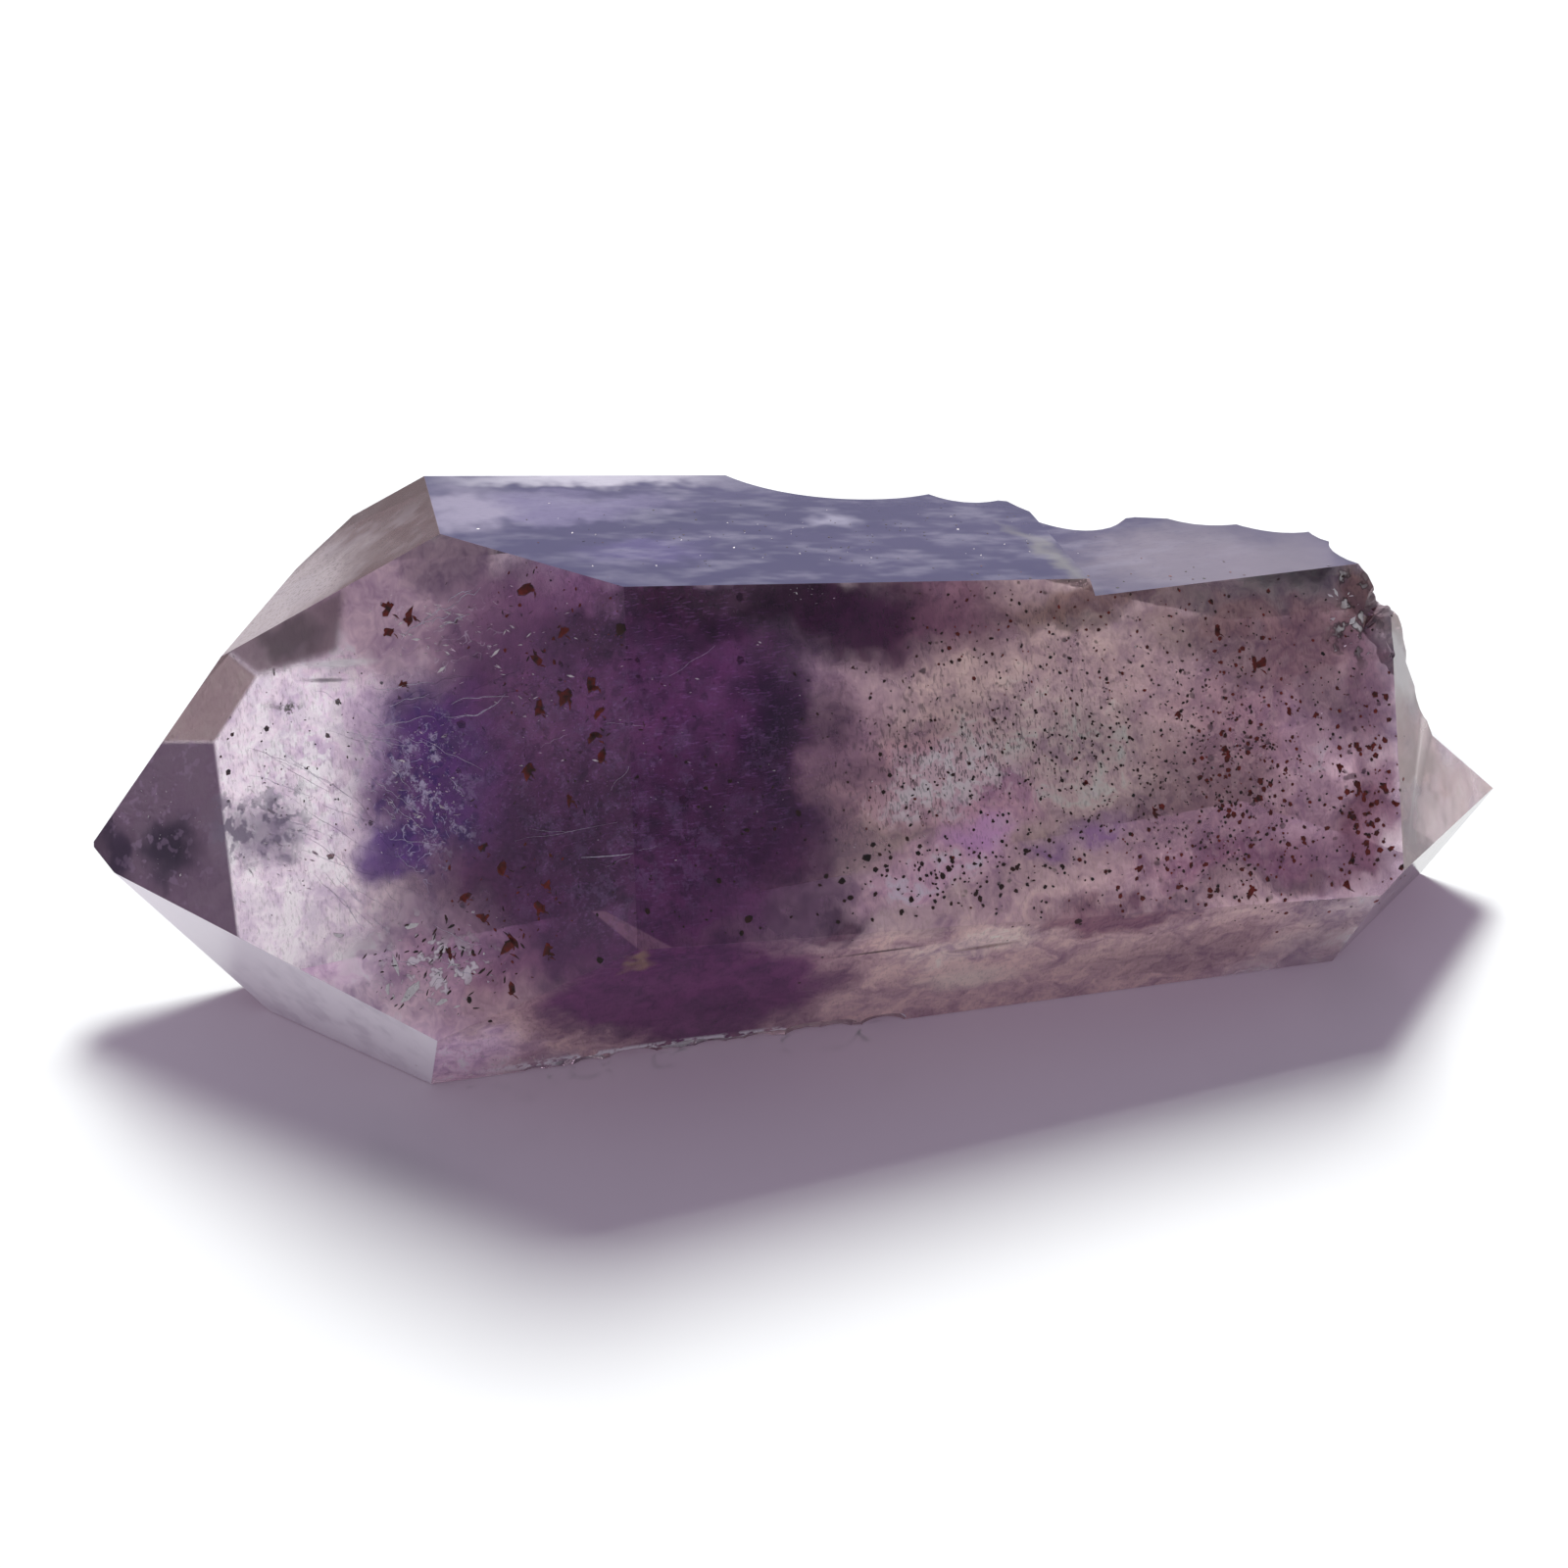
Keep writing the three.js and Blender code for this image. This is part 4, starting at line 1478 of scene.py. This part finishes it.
@dataclass
class DarkSpecks(SealedGrains):
    """The goethite: fine near-black specks, a few round dots and short needles.

    Each dot has its pixel and its width in pixels.
    """

    name: str = "goethite_specks"
    slot: str = "iron_oxide"
    seed: int = 23
    finish: IronOxide = IronOxide("goethite_grown_in_specks", "#3a1512", "#160708")
    dots: tuple[tuple[float, float, float], ...] = (
        (612, 980, 9), (479, 1020, 8), (500, 1042, 6), (661, 930, 7), (815, 830, 8), (1100, 940, 12),
        (885, 875, 10), (633, 642, 13), (734, 899, 7), (764, 938, 9), (757, 952, 6), (859, 899, 8),
        (868, 916, 7), (843, 894, 6), (930, 918, 7), (962, 894, 8), (968, 886, 7), (920, 930, 6),
        (762, 847, 6), (720, 804, 5), (745, 797, 5), (1022, 905, 7), (1047, 868, 6), (996, 912, 6),
    )
    swarms: tuple[Swarm, ...] = (
        Swarm((1120, 770), (320, 200), 1100, 0.04, 0.1, deep=2.2, slim=0.4),
        Swarm((980, 900), (140, 50), 150, 0.04, 0.13, deep=1.0),
        Swarm((1250, 790), (150, 180), 360, 0.04, 0.09, slim=0.4),
        Swarm((720, 850), (170, 170), 120, 0.03, 0.08),
        Swarm((560, 760), (130, 240), 130, 0.04, 0.16, slim=0.12),
        Swarm((330, 780), (90, 130), 50, 0.03, 0.08, slim=0.3),
        Swarm((450, 985), (90, 60), 90, 0.05, 0.22, slim=0.14, slant=30),
        Swarm((820, 545), (340, 45), 110, 0.025, 0.06, deep=0.7),
    )
    elsewhere: tuple[tuple[HabitFace, int], ...] = (
        (HabitFace.BACK, 160),
        (HabitFace.BACK_LOWER, 110),
        (HabitFace.FRONT_LOWER, 70),
        (HabitFace.TIP_NARROW, 20),
    )
    elsewhere_radii: tuple[float, float] = (0.03, 0.1)

    def add_large(self, grains: GrainMesh) -> None:
        """Adds the round dots that the photograph shows one by one."""
        for x, y, across in self.dots:
            grains.at((x, y), 0, across * PIXEL_MM / 2, corners=7, ragged=0.2, slim=0.8)


@dataclass
class FractureGlints(SealedGrains):
    """Healed cracks: clouds of tiny silvery films, and a few larger angular ones.

    Each large film has its pixel, its half length in millimetres and its slant in degrees.
    """

    name: str = "fracture_glints"
    slot: str = "healed_fracture"
    seed: int = 37
    finish: HealedFracture = HealedFracture("healed_fracture_fluid_film", "#fff4f8", 0.25)
    films: tuple[tuple[float, float, float, float], ...] = (
        (420, 1012, 0.6, 38), (452, 1022, 0.4, 20), (405, 985, 0.4, 100), (420, 945, 0.35, 5),
        (395, 1010, 0.35, 80), (345, 955, 0.35, 165),
    )
    swarms: tuple[Swarm, ...] = (
        Swarm((432, 800), (60, 95), 90, 0.04, 0.2, slim=0.2, slant=-25, level=0.9),
        Swarm((440, 790), (60, 90), 120, 0.02, 0.06, slim=0.4, level=0.9),
        Swarm((450, 640), (80, 50), 110, 0.06, 0.3, slim=0.12, slant=-20, level=0.8),
        Swarm((540, 700), (120, 120), 80, 0.03, 0.2, slim=0.12, slant=-10, level=0.7),
        Swarm((440, 990), (62, 46), 60, 0.06, 0.26, slim=0.14, slant=30, level=0.9),
        Swarm((450, 990), (80, 65), 70, 0.03, 0.14, slim=0.3, level=0.9),
        Swarm((828, 604), (60, 16), 26, 0.02, 0.08, deep=0.6, slim=0.2, level=0.9),
        Swarm((960, 800), (100, 65), 60, 0.02, 0.07, deep=0.8, slim=0.3, level=1.0),
        Swarm((700, 780), (180, 150), 70, 0.02, 0.09, slim=0.12, slant=-10, level=0.7),
        Swarm((820, 545), (340, 45), 60, 0.03, 0.09, deep=0.6, slim=0.3, level=1.0),
        Swarm((290, 860), (60, 80), 70, 0.04, 0.2, slim=0.12, slant=-40, level=0.5),
        Swarm((160, 840), (50, 60), 40, 0.02, 0.07, slim=0.3, level=0.8),
        Swarm((640, 1085), (230, 14), 170, 0.04, 0.16, shallow=0.12, deep=0.5, slim=0.25, level=0.5),
        Swarm((1378, 620), (30, 60), 40, 0.06, 0.24, slim=0.3, level=0.9),
        Swarm((1200, 740), (200, 160), 60, 0.02, 0.08, slim=0.3, level=0.8),
    )
    elsewhere: tuple[tuple[HabitFace, int], ...] = (
        (HabitFace.BACK, 70),
        (HabitFace.BACK_LOWER, 40),
        (HabitFace.TIP_NARROW, 20),
    )
    elsewhere_radii: tuple[float, float] = (0.02, 0.08)
    corners: int = 4
    tilt: float = 90.0

    def add_large(self, grains: GrainMesh) -> None:
        """Adds the larger angular films one by one."""
        for x, y, radius, slant in self.films:
            grains.at((x, y), 0, radius, corners=5, ragged=0.5, slim=0.3, slant=slant)


@dataclass(frozen=True)
class Bundle:
    """Hair-fine threads side by side: where they start and end, in pixels, and their depths in mm.

    Stray is how far their ends lie from those places, and wander how far a thread sways, in pixels.
    """

    start: tuple[float, float]
    end: tuple[float, float]
    count: int
    stray: float
    wander: float = 5.0
    deep: float = 2.2
    thick: float = 1.0


@dataclass
class FluidThreads:
    """Hair-fine tubes of trapped fluid, pale where they catch the light.

    They are drawn several times thicker than real ones, which would be too fine to show.
    """

    seed: int = 53
    radius: float = 0.012
    weld: float = 0.0006
    bends: int = 8
    open_share: float = 0.5
    shallowest: float = 0.4
    latest_start: float = 0.7
    part_shown: tuple[float, float] = (0.12, 0.4)
    under_skin: float = 0.2
    least_room: float = 0.15
    end_taper: float = 0.12
    bow: float = 2.0
    shake: float = 0.25
    bundles: tuple[Bundle, ...] = (
        Bundle((265, 790), (470, 905), 22, 50),
        Bundle((320, 705), (470, 770), 14, 34),
        Bundle((400, 655), (500, 605), 12, 14, 7.0, thick=1.6),
        Bundle((385, 722), (560, 690), 16, 22, 8.0, thick=1.3),
        Bundle((370, 790), (430, 850), 10, 16, 4.0, thick=1.3),
        Bundle((380, 745), (470, 860), 8, 34, 8.0, thick=1.1),
        Bundle((390, 930), (520, 1040), 12, 40, 6.0),
        Bundle((300, 850), (400, 960), 12, 30),
        Bundle((760, 779), (784, 781), 1, 0, 0.5, thick=2.6),
        Bundle((593, 875), (646, 871), 1, 0, 0.6, thick=1.8),
        Bundle((593, 876), (632, 886), 1, 0, 0.6, thick=1.4),
        Bundle((560, 740), (780, 690), 8, 70, 4.0, thick=0.4),
        Bundle((520, 900), (760, 850), 6, 60, 4.0, thick=0.4),
        Bundle((600, 930), (688, 990), 3, 4, 1.0, thick=1.4),
    )
    finish: HealedFracture = HealedFracture("fluid_threads_sealed_in_quartz", "#e6dcf0", 0.3, 0.3)

    def build(self, view: PhotoView, body: CrystalBody) -> bpy.types.Object:
        """Draws the threads as one curve with many runs and turns it into a mesh.

        Args:
            view: The photograph's viewpoint.
            body: The quartz around them.

        Returns:
            The piece.
        """
        rng = random.Random(self.seed)
        curve = bpy.data.curves.new("thread_runs", "CURVE")
        curve.dimensions = "3D"
        curve.bevel_depth = self.radius * MM
        curve.bevel_resolution = 0
        curve.use_fill_caps = True
        for bundle in self.bundles:
            for _ in range(bundle.count):
                self.run(curve, bundle, rng, view, body)
        holder = bpy.data.objects.new("thread_runs", curve)
        bpy.context.scene.collection.objects.link(holder)
        shown = holder.evaluated_get(bpy.context.evaluated_depsgraph_get())
        drawn = bpy.data.meshes.new_from_object(shown)
        bpy.data.objects.remove(holder)
        bm = bmesh.new()
        bm.from_mesh(drawn)
        bmesh.ops.remove_doubles(bm, verts=bm.verts, dist=self.weld * MM)
        bmesh.ops.recalc_face_normals(bm, faces=bm.faces)
        return finished_piece("fluid_threads", bm, self.finish.material())

    def run(
        self,
        curve: bpy.types.Curve,
        bundle: Bundle,
        rng: random.Random,
        view: PhotoView,
        body: CrystalBody,
    ) -> None:
        """Adds one thread to the curve, as far as it stays inside the quartz.

        Args:
            curve: The curve.
            bundle: The bundle that the thread belongs to.
            rng: The random draws.
            view: The photograph's viewpoint.
            body: The quartz around it.
        """
        start = [p + rng.uniform(-1, 1) * bundle.stray for p in bundle.start]
        end = [p + rng.uniform(-1, 1) * bundle.stray for p in bundle.end]
        depths = [0.0, 0.0]
        if rng.random() >= self.open_share:
            depths = [rng.uniform(self.shallowest, bundle.deep) for _ in range(2)]
        first = 0.0 if bundle.count == 1 else rng.uniform(0, self.latest_start)
        last = 1.0 if bundle.count == 1 else first + rng.uniform(*self.part_shown)
        bow = rng.uniform(-1, 1) * bundle.wander * self.bow
        shake = bundle.wander * self.shake
        points = []
        for step in range(self.bends):
            share = first + (last - first) * step / (self.bends - 1)
            lift = bow * math.sin(math.pi * share)
            pixel = [a + (b - a) * share + rng.gauss(0, shake) for a, b in zip(start, end)]
            pixel[1] -= lift
            found = body.under(view, pixel, depths[0] + (depths[1] - depths[0]) * share)
            if not found:
                return
            if body.room(found[0] - found[1] * self.under_skin * MM) < self.least_room * MM:
                return
            points.append(found[0])
        spline = curve.splines.new("NURBS")
        spline.points.add(len(points) - 1)
        spline.use_endpoint_u = True
        spline.order_u = 3
        spline.resolution_u = 2
        for step, (knot, point) in enumerate(zip(spline.points, points)):
            knot.co = (*point, 1)
            along = step / (self.bends - 1)
            taper = math.sin(math.pi * (self.end_taper + (1 - 2 * self.end_taper) * along))
            knot.radius = taper * bundle.thick


@dataclass
class Studio:
    """A plain pale floor and plain soft studio light, with lengths in millimetres and power in watts."""

    floor_side: float = 4000.0
    floor_gap: float = 0.05
    floor_colour: str = "#f2f2f2"
    floor_roughness: float = 0.9
    floor_shine: float = 0.1
    horizon_colour: str = "#f4f6fc"
    zenith_colour: str = "#7f8796"
    sky_strength: float = 0.45
    horizon_top: float = 0.2
    zenith_edge: float = 0.65
    key_power: float = 38.0
    key_side: float = 400.0
    key_place: tuple[float, float, float] = (350.0, 1050.0, 1150.0)

    def build(self) -> None:
        """Lays the floor and hangs the lights."""
        self.lay_floor()
        self.light()
        self.camera_settings()

    def lay_floor(self) -> None:
        """Lays a matt floor a hair under the crystal, so that no two faces share a plane."""
        bm = bmesh.new()
        bmesh.ops.create_grid(bm, x_segments=1, y_segments=1, size=self.floor_side * MM / 2)
        bmesh.ops.translate(bm, verts=bm.verts, vec=(0, 0, -self.floor_gap * MM))
        mesh = bpy.data.meshes.new("studio_floor")
        bm.to_mesh(mesh)
        bm.free()
        material, tree = empty_material("matt_pale_paper")
        inputs = {
            "Base Color": linear(self.floor_colour),
            "Roughness": self.floor_roughness,
            "Specular IOR Level": self.floor_shine,
        }
        paper = add_node(tree, "ShaderNodeBsdfPrincipled", inputs).outputs[0]
        add_node(tree, "ShaderNodeOutputMaterial", {"Surface": paper})
        mesh.materials.append(material)
        floor = bpy.data.objects.new("studio_floor", mesh)
        bpy.context.scene.collection.objects.link(floor)

    def light(self) -> None:
        """Hangs one broad soft light behind and above, under a pale sky."""
        world = bpy.data.worlds.new("pale_studio")
        world.use_nodes = True
        tree = world.node_tree
        tree.nodes.clear()
        way = add_node(tree, "ShaderNodeTexCoord").outputs["Generated"]
        height = add_node(tree, "ShaderNodeSeparateXYZ", {0: way}).outputs["Z"]
        inputs = {"Value": height, "From Min": self.horizon_top, "From Max": self.zenith_edge}
        rise = add_node(tree, "ShaderNodeMapRange", inputs).outputs["Result"]
        inputs = {"Factor": rise, "A": linear(self.horizon_colour), "B": linear(self.zenith_colour)}
        sky = add_node(tree, "ShaderNodeMix", inputs, data_type="RGBA").outputs["Result"]
        inputs = {"Color": sky, "Strength": self.sky_strength}
        glow = add_node(tree, "ShaderNodeBackground", inputs).outputs[0]
        add_node(tree, "ShaderNodeOutputWorld", {"Surface": glow})
        bpy.context.scene.world = world
        data = bpy.data.lights.new("key_softbox", "AREA")
        data.shape = "SQUARE"
        data.size = self.key_side * MM
        data.energy = self.key_power
        place = Vector(self.key_place) * MM
        key = bpy.data.objects.new("key_softbox", data)
        key.rotation_euler = (-place).to_track_quat("-Z", "Y").to_euler()
        key.location = place
        bpy.context.scene.collection.objects.link(key)

    def camera_settings(self) -> None:
        """Lets light cross the many clear layers, and keeps colours plain.

        One bounce off matt faces is enough here: more cost time and change hardly anything.
        """
        scene = bpy.context.scene
        scene.view_settings.view_transform = "Standard"
        scene.cycles.max_bounces = 8
        scene.cycles.diffuse_bounces = 1
        scene.cycles.glossy_bounces = 2
        scene.cycles.transmission_bounces = 8
        scene.cycles.transparent_max_bounces = 32
        scene.cycles.caustics_refractive = False
        scene.cycles.caustics_reflective = False


def main() -> None:
    """Builds the crystal in its studio and notes the sizes."""
    logging.basicConfig(level=logging.INFO, format="%(name)s: %(message)s")
    view = PhotoView()
    view.place_camera()
    Studio().build()
    body = CrystalBody()
    body.build(view)
    for kind in (RedFlakes, DarkSpecks, FractureGlints, FluidThreads):
        kind().build(view, body)


if __name__ == "__main__":
    main()
